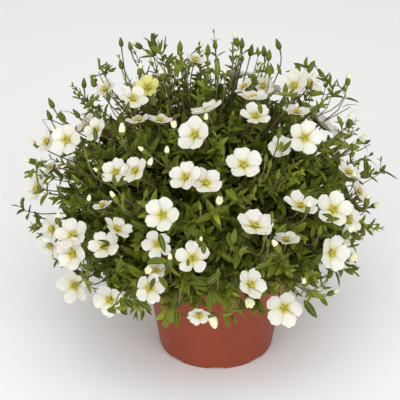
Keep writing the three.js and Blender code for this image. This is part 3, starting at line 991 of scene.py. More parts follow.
@dataclass
class Clearance:
    """Tells whether a leaf, stem or bud would cross a bloom or hide one that is seen."""

    blooms: Sequence[Bloom]
    picture: Picture
    reach: float = 45 * MM
    skin: float = 2.2 * MM
    petal_skin: float = 0.8 * MM
    open_height: float = 26 * MM
    open_share: float = 0.85
    shown_share: float = 0.8
    least_facing: float = 0.15

    def __post_init__(self) -> None:
        """Sorts the blooms by place."""
        self.tree = KDTree(len(self.blooms))
        for i, bloom in enumerate(self.blooms):
            self.tree.insert(bloom.middle, i)
        self.tree.balance()

    def _near(self, point: Point, but: int = -1) -> Iterable[tuple[Bloom, float, float]]:
        """The blooms about a point.

        Args:
            point: The point.
            but: The number of a bloom that is left out.

        Yields:
            Each bloom, how high the point is over its throat, and how far from its axis.
        """
        for _, i, _ in self.tree.find_range(point, self.reach):
            if i != but:
                bloom = self.blooms[i]
                way = point - bloom.throat
                height = way.dot(bloom.facing)
                yield bloom, height, (way - bloom.facing * height).length

    def crosses(self, points: Iterable[Point], but: int = -1) -> bool:
        """Whether any point lies in the petals of a bloom.

        Args:
            points: The points.
            but: The number of a bloom whose petals may be crossed.

        Returns:
            True if one does.
        """
        for point in points:
            for bloom, height, reach in self._near(point, but):
                over = height - bloom.petal_height(min(reach, bloom.radius))
                if reach < bloom.radius + self.skin and abs(over) < self.skin + self.petal_skin:
                    return True
        return False

    def hides(self, point: Point) -> bool:
        """Whether a point stands in the open space over a bloom, or before one that is seen.

        Args:
            point: The point.

        Returns:
            True if it does.
        """
        for bloom, height, reach in self._near(point):
            if 0 < height < self.open_height and reach < bloom.radius * self.open_share:
                return True
            towards_eye = (self.picture.eye - bloom.middle).normalized()
            if bloom.hidden or bloom.facing.dot(towards_eye) < self.least_facing:
                continue
            before = point - bloom.middle
            nearer = before.dot(towards_eye)
            aside = (before - towards_eye * nearer).length
            if nearer > 0 and aside < bloom.radius * self.shown_share:
                return True
        return False


# The pot and its compost


@dataclass
class Pot:
    """A thin round nursery pot, drawn in to its notched foot, with a deep rim."""

    sides: int = 96
    foot: float = 39.4
    shoulder: float = 50.9
    shoulder_height: float = 70
    rim: float = 55
    height: float = 84
    wall: float = 1.7
    floor: float = 4.2
    notches: int = 8
    notch_depth: float = 14
    notch_height: float = 1.6
    notch_sides: int = 4
    drain: Range = (27.1, 30.5)
    wall_joint: float = 36
    slack: float = 0.1

    def profile(self) -> Profile:
        """The wall's outline, from the foot's middle out, up, over and in.

        Returns:
            Each corner's radius and height, in millimetres.
        """
        slope = (self.shoulder - self.foot) / self.shoulder_height
        inner_foot = self.foot - self.wall + slope * self.floor
        return [
            (0, 0),
            (self.foot - self.notch_depth, 0),
            (self.drain[0], 0),
            (self.drain[1], 0),
            (self.foot - 1, 0),
            (self.foot - 0.3, 0.3),
            (self.foot, 1),
            (self.foot + slope * self.notch_height, self.notch_height),
            (self.foot + slope * self.wall_joint, self.wall_joint),
            (self.shoulder - 0.1, self.shoulder_height - 1),
            (self.shoulder + 0.5, self.shoulder_height),
            (self.shoulder + 1.7, self.shoulder_height + 0.9),
            (self.shoulder + 2.2, self.shoulder_height + 1.9),
            (self.rim - 0.5, self.height - 3),
            (self.rim, self.height - 2.2),
            (self.rim, self.height - 0.7),
            (self.rim - 0.3, self.height - 0.2),
            (self.rim - 0.8, self.height),
            (self.rim - self.wall + 0.2, self.height - 0.2),
            (self.rim - self.wall, self.height - 0.9),
            (self.shoulder + 2 - self.wall, self.shoulder_height + 1.8),
            (self.shoulder - self.wall, self.shoulder_height),
            (inner_foot, self.floor),
            (self.drain[1], self.floor),
            (self.drain[0], self.floor),
            (0, self.floor),
        ]

    def build(self, finish: Material) -> None:
        """Makes the pot.

        Args:
            finish: Its plastic.
        """
        mesh = begin()
        turned(mesh, self.profile(), self.sides)
        self._lift_notches(mesh)
        self._open_drains(mesh)
        bmesh.ops.recalc_face_normals(mesh, faces=mesh.faces)
        finish_piece("nursery_pot", mesh, [finish], Slot.POT, "pot")

    def _faces(self, mesh: Mesh, reach: Range, height: Range) -> list[Face]:
        """The faces of all the notches' sectors whose middles lie between some sizes.

        Args:
            mesh: The pot's mesh.
            reach: The least and greatest distance from the axis, in millimetres.
            height: The least and greatest height, in millimetres.

        Returns:
            The faces.
        """
        step = TURN / self.sides
        found = []
        for face in mesh.faces:
            middle = face.calc_center_median() / MM
            turn = math.atan2(middle.x, -middle.y) / step + self.notch_sides / 2
            inside = turn % (self.sides / self.notches) < self.notch_sides
            away = Vector(middle.xy).length
            if inside and reach[0] < away < reach[1] and height[0] < middle.z < height[1]:
                found.append(face)
        return found

    def _lift_notches(self, mesh: Mesh) -> None:
        """Lifts the foot's underside into the shallow notches that let water out.

        Args:
            mesh: The pot's mesh.
        """
        inner, lip = self.foot - self.notch_depth, self.foot - 1
        under = self._faces(mesh, (inner, lip), (-self.slack, self.slack))
        grown = bmesh.ops.extrude_face_region(mesh, geom=under)["geom"]
        points = [item for item in grown if isinstance(item, Corner)]
        bmesh.ops.delete(mesh, geom=[face for face in under if face.is_valid], context="FACES")
        bmesh.ops.translate(mesh, vec=UPRIGHT * self.notch_height * MM, verts=points)
        wall = self.foot + (self.shoulder - self.foot) / self.shoulder_height * self.notch_height
        for point in points:
            reach = Vector(point.co.xy).length
            if reach > (lip - 2 * self.slack) * MM:
                point.co.xy *= wall * MM / reach
        bmesh.ops.remove_doubles(mesh, verts=mesh.verts, dist=0.05 * MM)
        heights = (0.01, self.notch_height - self.slack)
        mouth = self._faces(mesh, (lip - self.slack, wall + self.slack), heights)
        bmesh.ops.delete(mesh, geom=mouth, context="FACES")
        rims = [edge for edge in mesh.edges if edge.is_boundary]
        bmesh.ops.holes_fill(mesh, edges=rims, sides=6)

    def _open_drains(self, mesh: Mesh) -> None:
        """Opens a slot through the floor at the inner end of each notch.

        Args:
            mesh: The pot's mesh.
        """
        slots = self._faces(mesh, self.drain, (self.notch_height - self.slack, self.floor + self.slack))
        bmesh.ops.delete(mesh, geom=slots, context="FACES")
        slot_rims = [[] for _ in range(self.notches)]
        for rim in [edge for edge in mesh.edges if edge.is_boundary]:
            middle = (rim.verts[0].co + rim.verts[1].co) / 2
            turn = math.atan2(middle.x, -middle.y) / TURN * self.notches
            slot_rims[round(turn) % self.notches].append(rim)
        for own in slot_rims:
            bmesh.ops.bridge_loops(mesh, edges=own)


@dataclass
class Compost:
    """The lumpy compost that fills the pot, with loose crumbs on it."""

    radius: float
    foot: float
    top: float
    lump: float = 1.6 * MM
    lump_cells: Range = (90, 320)
    fine_share: float = 0.6
    level_edge: float = 6 * MM
    crumbs: int = 420
    crumb: Range = (0.5, 1.5)
    rings: int = 14
    sides: int = 72
    seed: int = 5

    def build(self, finish: Material) -> None:
        """Makes the compost.

        Args:
            finish: Its material.
        """
        mesh = begin()
        edge, top = self.radius / MM, self.top / MM
        surface = [(edge * (1 - i / self.rings), top) for i in range(self.rings + 1)]
        side = [(0, self.foot / MM), (edge * 0.8, self.foot / MM)]
        turned(mesh, side + surface, self.sides)
        for point in mesh.verts:
            if point.co.z > self.top - MM:
                point.co.z += self._height(point.co)
        draw = random.Random(self.seed)
        for _ in range(self.crumbs):
            self._add_crumb(mesh, draw)
        bmesh.ops.recalc_face_normals(mesh, faces=mesh.faces)
        finish_piece("compost_fill", mesh, [finish], Slot.COMPOST, "soil")

    def _height(self, point: Point) -> float:
        """How far the lumps stand over the level top at a place.

        Args:
            point: A point of the top.

        Returns:
            The height, in metres.
        """
        coarse = noise.noise(Vector((point.x, point.y, 0)) * self.lump_cells[0])
        fine = noise.noise(Vector((point.x, point.y, 0.05)) * self.lump_cells[1])
        inside = min(1, (self.radius - Vector(point.xy).length) / self.level_edge)
        return (coarse * self.lump + fine * self.lump * self.fine_share) * max(0, inside)

    def _add_crumb(self, mesh: Mesh, draw: random.Random) -> None:
        """Adds one loose crumb, pressed into the top.

        Args:
            mesh: The compost's mesh.
            draw: The random numbers.
        """
        reach = (self.radius - 3 * MM) * math.sqrt(draw.random())
        place = round_z(draw.uniform(0, TURN), self.top, reach)
        place.z += self._height(place)
        size = draw.uniform(*self.crumb) * MM
        made = bmesh.ops.create_icosphere(mesh, subdivisions=1, radius=size)["verts"]
        squash = Matrix.Diagonal((1, draw.uniform(0.6, 1), draw.uniform(0.5, 0.8), 1))
        turned_round = Matrix.Rotation(draw.uniform(0, TURN), 4, "Z")
        bmesh.ops.transform(mesh, matrix=Matrix.Translation(place) @ turned_round @ squash, verts=made)


# Leaves and stems


@dataclass
class LeafForm:
    """The form of a lance-shaped leaf, drawn along +Z from its base, one long and one wide."""

    arch: float
    fold: float
    twist: float = 0
    rings: int = 6
    thickness: float = 0.035
    widest: float = 0.42
    near_axis: float = 0.05

    def template(self) -> Template:
        """Makes the leaf once.

        Returns:
            The form to copy.
        """
        shape = begin()
        bmesh.ops.create_uvsphere(shape, u_segments=4, v_segments=self.rings, radius=1)
        under = shape.verts.layers.float["under"]
        for point in shape.verts:
            t = (point.co.z + 1) / 2
            rim = abs(point.co.y) > self.near_axis > abs(point.co.x)
            half = self._half_width(t)
            side = math.copysign(half, point.co.y) if rim else 0
            height = self.arch * t * t
            if rim:
                height += self.fold * half
            else:
                height += math.copysign(self.thickness * math.sin(math.pi * t) ** 0.5 / 2, point.co.x)
                point[under] = 1.0 if point.co.x < 0 else 0.0
            turn = self.twist * t
            point.co = Vector((height - side * math.sin(turn), side * math.cos(turn), t))
        lay_pattern(shape, shape.faces, self._pattern)
        return Template("leaf_form", shape)

    def _pattern(self, point: Point) -> Range:
        """How far across and along the leaf a point of it is."""
        across = 0.5 if abs(point.y) < NEARLY_NOTHING else float(point.y > 0)
        return across, point.z

    def _half_width(self, t: float) -> float:
        """Half the leaf's width at a height: narrow at its base, widest before its middle."""
        power = math.log(0.5) / math.log(self.widest)
        return 0.5 * math.sin(math.pi * min(1, max(0, t)) ** power) ** 0.72


def opened(along: Vector, out: Vector, opening: float) -> tuple[Vector, Vector]:
    """The way of a leaf that opens off its stem at an angle, and the way of its upper side."""
    cos, sin = math.cos(opening), math.sin(opening)
    return along * cos + out * sin, along * sin - out * cos


@dataclass
class Bush:
    """The bush: its main stems, leafy shoots, sprigs, single leaves and inner leaves, whose darker finish
    is painted shade.
    """

    crown: Crown
    picture: Picture
    clearance: Clearance
    soil_top: float
    seed: int = 77
    shoots: int = 520
    lowest_shoot: float = -0.66
    shoot_levels: Range = (0.74, 1.03)
    joint_gap: float = 8 * MM
    leaf_lengths: Range = (10.5 * MM, 15 * MM)
    low_leaf: float = 1.2
    high_leaf: float = 0.82
    leaf_width: float = 0.34
    tip_leaf: float = 0.45
    inner_leaves: int = 3900
    inner_levels: Range = (0.24, 0.76)
    inner_top: float = 0.25
    inner_top_levels: Range = (0.3, 0.68)
    inner_thinned: float = 0.15
    inner_size: float = 0.88
    inner_rows: int = 1000
    lowest_inner: float = -0.75
    side_shoots: float = 0.4
    thinned: float = 0.48
    top_thinned: float = 0.15
    beside_size: float = 0.72
    top_size: float = 0.85
    beside_facing: float = 0.42
    beside_height: float = -0.3
    top_height: float = 0.45
    leafy_from: Range = (0.28, 0.4)
    leaf_opening: tuple[float, float, float] = (62, 36, 9)
    sprig_opening: tuple[float, float, float] = (52, 30, 8)
    sprig_foot: float = 0.55
    sprig_bare: float = 0.55
    sprig_leafy: float = 0.43
    sprig_loss: float = 0.35
    sprig_sizes: Range = (0.85, 1.1)
    sprig_tones: Range = (0.3, 0.7)
    sprig_taper: Range = (1.1, 0.4)
    stem_taper: Profile = ((0, 1), (0.35, 1), (0.7, 0.85), (1, 0.6))
    tip_from: float = 0.62
    joint_play: float = 0.4
    shoot_tones: float = 0.16
    leaf_tones: tuple[float, float, float] = (0.34, 0.42, 0.11)
    leaf_widths: Range = (0.85, 1.15)
    root_level: float = 0.34
    root_play: float = 8
    high_rise: float = 0.45
    low_rise: float = 0.1
    low_height: float = -0.2
    tuft: tuple[float, ...] = (0, 0.25, 0.5, 0.75)
    tuft_sizes: Range = (0.35, 0.6)
    main_stems: int = 34
    main_ring: float = 26 * MM
    main_sunk: float = 4 * MM
    main_bend: Range = (6 * MM, 30 * MM)
    main_radii: Profile = ((0, 1.5 * MM), (0.3, 1.2 * MM), (0.7, 0.8 * MM), (1, 0.4 * MM))
    stem_radius: float = 0.55 * MM
    sprig_radius: float = 0.42 * MM
    sprig_leaf_width: float = 0.36
    hanging: float = 290
    tries: int = 14
    bands: Range = (95 * MM, 150 * MM)
    lowest_leaf: float = 80 * MM
    leaf_heights: float = 140 * MM
    soil_gap: float = 14 * MM
    soil_reach: float = 62 * MM
    leaves: int = 0

    # Sprigs that stand out against the background: where the stem leaves the bush and where its tip is
    # (across, down, twice), how far it stands out (mm), pairs of leaves and their length (mm). Those
    # whose tip is lower than `hanging` hang before the pot.
    sprigs = (
        (157, 70, 152, 40, -12, 4, 10), (166, 74, 160, 46, -12, 4, 9.5),
        (172, 80, 171, 60, -6, 3, 10), (105, 86, 103, 68, -8, 3, 10.5),
        (112, 90, 109, 71, -8, 3, 10), (98, 118, 95, 100, 0, 4, 9), (42, 214, 22, 204, -6, 4, 9),
        (254, 72, 257, 53, -8, 2, 8), (217, 90, 217, 73, -6, 2, 13), (188, 84, 189, 64, -2, 2, 10),
        (180, 90, 177, 69, -2, 3, 9), (268, 88, 262, 71, -6, 3, 9), (321, 106, 316, 67, -10, 5, 9),
        (327, 108, 325, 77, -8, 4, 9.5), (338, 110, 339, 86, -6, 3, 10),
        (303, 86, 302, 66, -12, 3, 10.5), (294, 88, 293, 71, -10, 2, 8),
        (307, 108, 306, 85, -4, 3, 10), (287, 108, 287, 95, 0, 3, 9.5),
        (331, 140, 340, 123, 0, 4, 10), (341, 156, 347, 147, -4, 3, 8.5),
        (364, 183, 381, 161, -8, 2, 8), (360, 150, 363, 143, -12, 1, 9),
        (308, 290, 327, 281, 2, 3, 9), (176, 298, 170, 315, 6, 3, 12),
        (240, 298, 224, 314, 8, 3, 9), (303, 282, 310, 293, 4, 2, 11),
        (118, 296, 122, 308, 6, 3, 10), (136, 296, 139, 306, 6, 2, 9), (88, 266, 93, 288, 6, 4, 8),
        (52, 120, 50, 131, -6, 1, 7), (42, 166, 45, 182, -4, 3, 8), (48, 178, 41, 163, -6, 3, 9),
        (62, 196, 40, 190, -6, 3, 9), (70, 112, 66, 122, -6, 2, 8),
    )
    # Single leaves there, or before a bloom: base and tip (across, down, twice), how far out (mm), width
    # (mm), and how much they are arched upwards (0 for a flat one that is turned to the eye)
    lone_leaves = (
        (342, 108, 361, 106, -4, 2.6, 0.9), (346, 118, 358, 109, -4, 2.4, 0.35),
        (344, 131, 359, 136, -4, 1.5, 0.7), (363, 144, 352, 150, -8, 1.8, 1),
        (362, 143, 368, 156, -8, 1.5, 0.8), (364, 144, 371, 140, -8, 3, 0),
        (367, 175, 365, 157, -4, 4.2, 0), (366, 158, 378, 169, -4, 1.6, 0.4),
        (378, 169, 399, 179, -4, 1.1, 0), (359, 179, 378, 169, -6, 1.1, 0),
        (38, 212, 37, 227, -4, 2.2, 0), (34, 211, 40, 226, -4, 2, 0),
        (281, 75, 277, 63, -8, 2.4, 0), (273, 74, 270, 62, -8, 2.4, 0),
        (157, 54, 151, 34, -10, 3.8, 0), (156, 57, 147, 38, -10, 3.2, 0),
        (154, 57, 139, 57, -10, 1.8, 0), (163, 54, 166, 35, -8, 1.2, 0),
        (167, 69, 172, 52, -8, 4, 0), (170, 74, 164, 60, -8, 3.6, 0),
        (181, 72, 176, 57, -6, 4.4, 0), (92, 124, 77, 112, -4, 4, 0.3),
        (243, 54, 233, 49, -6, 1.1, 0), (243, 54, 253, 47, -6, 1.1, 0),
        (269, 74, 288, 75, -8, 1.4, 0.15), (323, 254, 315, 265, 4, 3.2, 0),
        (304, 300, 317, 318, 4, 5.2, 0), (176, 310, 177, 329, 8, 4, 0),
        (176, 309, 170, 297, 8, 4, 0), (177, 309, 182, 296, 8, 4, 0),
        (176, 310, 164, 318, 8, 4.2, 0), (180, 314, 190, 316, 8, 1.6, 0),
        (207, 285, 187, 282, 10, 4.2, 0), (207, 284, 221, 272, 10, 4.2, 0),
        (255, 269, 276, 263, 10, 4.6, 0), (135, 300, 153, 309, 8, 4.6, 0),
        (124, 299, 135, 309, 8, 4.4, 0), (121, 297, 124, 311, 8, 4, 0),
        (210, 293, 210, 314, 8, 4, 0), (225, 319, 230, 327, 8, 3.4, 0),
        (220, 78, 232, 69, -4, 3, 0), (320, 297, 328, 306, 4, 3.4, 0),
        (120, 309, 128, 314, 8, 4, 0), (155, 278, 150, 290, 12, 3.6, 0),
        (158, 277, 167, 289, 12, 3.4, 0), (110, 244, 97, 240, 14, 3, 0),
        (110, 244, 99, 247, 14, 2.6, 0), (159, 234, 165, 253, 10, 4.6, 0),
        (96, 141, 95, 127, 10, 3.4, 0), (115, 186, 113, 174, 12, 3.4, 0),
        (118, 186, 128, 181, 12, 2.6, 0), (154, 106, 153, 93, 6, 4, 0),
        (261, 114, 259, 102, 10, 3.2, 0), (306, 88, 305, 75, 4, 3.4, 0),
        (282, 152, 292, 140, 8, 3, 0), (282, 152, 281, 141, 8, 3, 0),
        (276, 233, 287, 224, 8, 2.8, 0), (126, 112, 129, 101, 8, 3, 0),
        (333, 218, 322, 213, 14, 3.4, 0), (326, 221, 340, 217, 14, 3.2, 0),
        (240, 256, 247, 246, 10, 4, 0), (229, 232, 233, 250, 8, 4.4, 0),
        (268, 258, 280, 252, 8, 4.4, 0), (204, 254, 200, 238, 8, 4.6, 0),
        (147, 263, 168, 261, 8, 4.4, 0), (121, 258, 116, 272, 8, 4.4, 0),
        (196, 226, 186, 240, 6, 4.6, 0), (155, 140, 148, 153, 4, 4.4, 0.2),
        (225, 190, 237, 200, 6, 4.2, 0),
    )

    def __post_init__(self) -> None:
        """Makes the leaf forms and the meshes that the bush is gathered in."""
        self.draw = random.Random(self.seed)
        self.forms = [
            LeafForm(arch=-0.14, fold=0.24).template(),
            LeafForm(arch=-0.04, fold=0.36, twist=0.4).template(),
            LeafForm(arch=0.06, fold=0.2, twist=-0.3).template(),
            LeafForm(arch=-0.26, fold=0.16, twist=0.2).template(),
        ]
        self.arched_form = LeafForm(arch=-1, fold=0.1, rings=9).template()
        self.stems = begin()
        self.leaf_bands = [begin() for _ in range(3)]
        self.inner = begin()

    def build(self, leaf: Material, shaded_leaf: Material, stem: Material) -> None:
        """Makes the stems and leaves.

        Args:
            leaf: The finish of the outer leaves.
            shaded_leaf: The finish of the leaves inside the bush, darker as painted shade.
            stem: The finish of the stems.
        """
        self._add_main_stems()
        for i in range(self.shoots):
            self._add_shoot(spread(i + 0.5, self.shoots, self.lowest_shoot))
        for row in self.sprigs:
            self._add_sprig(row)
        for row in self.lone_leaves:
            self._add_lone_leaf(row)
        for _ in range(self.inner_leaves):
            self._add_inner_leaf()
        finish_piece("stems", self.stems, [stem], Slot.FOLIAGE, "foliage")
        for name, band in zip(("low", "middle", "high"), self.leaf_bands):
            finish_piece(f"leaves_{name}", band, [leaf], Slot.FOLIAGE)
        # The leaves inside the bush take the darker finish: painted shade.
        finish_piece("leaves_inside", self.inner, [shaded_leaf], Slot.FOLIAGE)
        LOG.info("the bush has %d outer leaves", self.leaves)

    def _add_main_stems(self) -> None:
        """Adds the woody stems that come out of the compost."""
        for i in range(self.main_stems):
            reach = self.main_ring * math.sqrt((i + 0.5) / self.main_stems)
            out = round_z(i * GOLDEN_TURN)
            foot = out * reach + UPRIGHT * (self.soil_top - self.main_sunk)
            tip = self.crown.on(risen(out * (0.3 + reach / self.main_ring), 0.5), 0.5)
            bend = foot + UPRIGHT * self.main_bend[1] + out * self.main_bend[0]
            path = (foot, bend, tip)
            add_tube(self.stems, path, self.main_radii, 6, self.draw.random(), (0, 0.3))

    def _shoot_path(self, direction: Vector, tip: Point) -> tuple[Point, Point, Point]:
        """The curve of a shoot out of the middle of the bush, which turns up towards its tip.

        Args:
            direction: The way from the middle of the bush.
            tip: The shoot's tip.

        Returns:
            The shoot's foot, bend and tip.
        """
        draw = self.draw
        root = self.crown.on(risen(direction, 0.25), self.root_level)
        root += Vector([draw.uniform(-self.root_play, self.root_play) * MM for _ in range(3)])
        rise = self.high_rise if direction.z > self.low_height else self.low_rise
        arrive = risen((tip - root).normalized(), rise)
        arrive += side_at(arrive, draw.uniform(0, TURN)) * draw.uniform(0, 0.3)
        bend = tip - arrive.normalized() * ((tip - root).length * draw.uniform(0.35, 0.5))
        return root, bend, tip

    def _add_shoot(self, direction: Vector) -> None:
        """Adds one leafy shoot that reaches the crown in a direction.

        Args:
            direction: The way from the middle of the bush.
        """
        draw = self.draw
        wander = Vector([draw.gauss(0, 0.07) for _ in range(3)])
        aimed = (direction + wander).normalized()
        left_out, size = 0, 1
        if aimed.dot(self.picture.nearer) < self.beside_facing and aimed.z > self.beside_height:
            left_out, size = self.thinned, self.beside_size
        elif aimed.z > self.top_height:
            left_out, size = self.top_thinned, self.top_size
        if draw.random() < left_out:
            return
        for _ in range(self.tries):
            tip = self.crown.on(aimed, draw.uniform(*self.shoot_levels))
            path = self._shoot_path(aimed, tip)
            if not self.clearance.crosses(curve_point(path, t / 10) for t in range(2, 11)):
                break
        else:
            return
        self._add_leafy_stem(path, draw.uniform(*self.leafy_from), size)

    def _add_leafy_stem(self, path: Sequence[Point], from_height: float, size: float) -> None:
        """Adds a stem with a pair of leaves at each joint, every pair square to the last.

        Args:
            path: The stem's curve.
            from_height: Where its leaves begin, 0 at its foot and 1 at its tip.
            size: The leaves' size against the usual.
        """
        draw = self.draw
        radii = [(height, self.stem_radius * share) for height, share in self.stem_taper]
        add_tube(self.stems, path, radii, 4, draw.random(), (0.1, 1))
        joints = max(3, round(curve_length(path) * (1 - from_height) / (self.joint_gap * size)))
        side = side_at(curve_way(path, 1), draw.uniform(0, TURN))
        shoot_tone = draw.uniform(-self.shoot_tones, self.shoot_tones)
        tone_at_foot, tone_rise, tone_play = self.leaf_tones
        for joint in range(joints):
            share = (joint + 1) / joints
            height = from_height + (1 - from_height) * (share - draw.uniform(0, self.joint_play) / joints)
            base, along = curve_point(path, height), curve_way(path, height)
            near_tip = max(0, share - self.tip_from)
            leaf_size = size * (1 - (1 - self.tip_leaf) * near_tip / (1 - self.tip_from))
            opening = self._opening(share, self.leaf_opening)
            for quarter in (joint, joint + 2):
                out = Matrix.Rotation((quarter + 0.5) * TURN / 4, 3, along) @ side
                out = (out - along * out.dot(along)).normalized()
                way, upper = opened(along, out, opening)
                tone = tone_at_foot + tone_rise * share * height + shoot_tone + draw.gauss(0, tone_play)
                self._add_leaf(base, way, upper, leaf_size, tone)
            if draw.random() < self.side_shoots and 0.1 < share < 0.8:
                self._add_tuft(base, along, side, leaf_size, shoot_tone)

    def _opening(self, share: float, angles: tuple[float, float, float]) -> float:
        """How far a leaf opens: degrees at the stem's foot, how many fewer at its tip, and the play."""
        widest, narrowed, play = angles
        return math.radians(widest - narrowed * share**2 + self.draw.uniform(-play, play))

    def _add_sprig(self, row: Sequence[float]) -> None:
        """Adds one thin leafy sprig that stands out against the background.

        Args:
            row: Its row of the table.
        """
        *ends, out, pairs, length = row
        base, tip = self._ends(ends, out * MM)
        foot = self.crown.middle + (base - self.crown.middle) * self.sprig_foot
        path = (foot, base * 2 - (foot + tip) / 2, tip)
        draw = self.draw
        add_tube(self.stems, path, tapered(self.sprig_radius, 4, *self.sprig_taper), 4, draw.random())
        side = side_at(curve_way(path, 1), draw.uniform(0, TURN))
        for joint in range(pairs):
            share = (joint + 1) / pairs
            height = self.sprig_bare + self.sprig_leafy * share
            base, along = curve_point(path, height), curve_way(path, height)
            opening = self._opening(share, self.sprig_opening)
            for quarter in (joint, joint + 2):
                out_way = Matrix.Rotation((quarter + 0.5) * TURN / 4, 3, along) @ side
                way, upper = opened(along, out_way, opening)
                size = length * MM * (1 - self.sprig_loss * share**3) * draw.uniform(*self.sprig_sizes)
                tone = draw.uniform(*self.sprig_tones)
                self._lay_leaf(base, way, upper, size, size * self.sprig_leaf_width, tone)

    def _add_lone_leaf(self, row: Sequence[float]) -> None:
        """Adds one leaf, straight or arched upwards, that stands out against the background.

        Args:
            row: Its row of the table.
        """
        *ends, out, width, arch = row
        base, tip = self._ends(ends, out * MM)
        chord = tip - base
        if not arch:
            upper = self.picture.towards(self.draw.uniform(-0.5, 0.5), 0.5, 1)
            self._lay_leaf(base, chord, upper, chord.length, width * MM, self.draw.uniform(0, 0.4))
            return
        up = self.picture.up
        over = (up - chord * (up.dot(chord) / chord.length_squared)).normalized()
        slope = math.atan(arch)
        way = chord.normalized() * math.cos(slope) + over * math.sin(slope)
        upper = over * math.cos(slope) - chord.normalized() * math.sin(slope)
        length = chord.length * math.cos(slope)
        place = frame_at(base, way, upper) @ Matrix.Diagonal((length * arch, width * MM, length, 1))
        self.arched_form.add_to(self.leaf_bands[2], place, self.draw.uniform(*self.sprig_tones))

    def _ends(self, ends: Sequence[float], out: float) -> tuple[Point, Point]:
        """The two ends of a sprig or leaf, both as far from the eye as the crown is at one of them.

        Args:
            ends: Where both show in the picture.
            out: How far they stand out of the crown.

        Returns:
            The base and the tip.
        """
        *first, across, down = ends
        if down > self.hanging:
            base = self.crown.seen(self.picture, *first, out)
            return base, self.picture.beside(base, across, down)
        tip = self.crown.seen(self.picture, across, down, out)
        return self.picture.beside(tip, *first), tip

    def _lay_leaf(self, base: Point, way: Vector, upper: Vector, length: float, width: float,
                  tone: float) -> None:
        """Adds one leaf of a size to the band of leaves at its height.

        Args:
            base: The leaf's foot.
            way: The way that it grows.
            upper: The way of its upper side.
            length: Its length.
            width: Its width.
            tone: Its own tone, held between 0 and 1.
        """
        band = 0 if base.z < self.bands[0] else 1 if base.z < self.bands[1] else 2
        place = frame_at(base, way, upper) @ Matrix.Diagonal((length, width, length, 1))
        self.draw.choice(self.forms).add_to(self.leaf_bands[band], place, min(1, max(0, tone)))
        self.leaves += 1

    def _add_tuft(self, base: Point, along: Vector, side: Vector, size: float, tone: float) -> None:
        """Adds a tuft of small young leaves in the corner between a stem and its leaf.

        Args:
            base: The joint.
            along: The stem's way.
            side: A way out of the stem.
            size: The size of the joint's leaves against the usual.
            tone: The shoot's own tone.
        """
        draw = self.draw
        lean = Matrix.Rotation(draw.uniform(0, TURN), 3, along) @ side
        way = (along + lean * 0.7).normalized()
        for turn in self.tuft:
            out = side_at(way, turn * TURN + draw.uniform(0, 0.6))
            leaf_way = (way + out * draw.uniform(0.35, 0.7)).normalized()
            self._add_leaf(base, leaf_way, way - out, size * draw.uniform(*self.tuft_sizes), 0.62 + tone)

    def _add_leaf(self, base: Point, way: Vector, upper: Vector, size: float, tone: float) -> None:
        """Adds one outer leaf, unless it would cross or hide a bloom.

        Args:
            base: The leaf's foot.
            way: The way that it grows.
            upper: The way of its upper side.
            size: Its size against the usual.
            tone: Its own tone.
        """
        draw = self.draw
        height = min(1, max(0, (base.z - self.lowest_leaf) / self.leaf_heights))
        length = draw.uniform(*self.leaf_lengths) * size
        length *= self.low_leaf + (self.high_leaf - self.low_leaf) * height
        points = [base + way * (length * share) for share in (0.15, 0.5, 0.8, 1)]
        if self.clearance.crosses(points) or any(self.clearance.hides(p) for p in points[1:]):
            return
        width = length * self.leaf_width * draw.uniform(*self.leaf_widths)
        self._lay_leaf(base, way, upper, length, width, tone)

    def _add_inner_leaf(self) -> None:
        """Adds one leaf inside the bush, in the darker finish that paints its shade."""
        draw = self.draw
        direction = spread(draw.uniform(0, self.inner_rows), self.inner_rows, self.lowest_inner)
        at_top = direction.z > self.inner_top
        if at_top and draw.random() < self.inner_thinned:
            return
        levels = self.inner_top_levels if at_top else self.inner_levels
        base = self.crown.on(direction, draw.uniform(*levels))
        if base.z < self.soil_top + self.soil_gap and Vector(base.xy).length < self.soil_reach:
            return
        way = (risen(direction, 0.5) + side_at(direction, draw.uniform(0, TURN)) * 0.8).normalized()
        length = draw.uniform(*self.leaf_lengths) * self.inner_size
        points = [base, base + way * length * 0.5, base + way * length]
        if self.clearance.crosses(points):
            return
        scale = Matrix.Diagonal((length, length * self.leaf_width, length, 1))
        place = frame_at(base, way, side_at(way, draw.uniform(0, TURN))) @ scale
        draw.choice(self.forms).add_to(self.inner, place, draw.random())


class BudKind(Enum):
    """How far a bud has opened."""

    CLOSED = "closed"
    TIPPED = "tipped"
    PALE = "pale"
    CUPPED = "cupped"


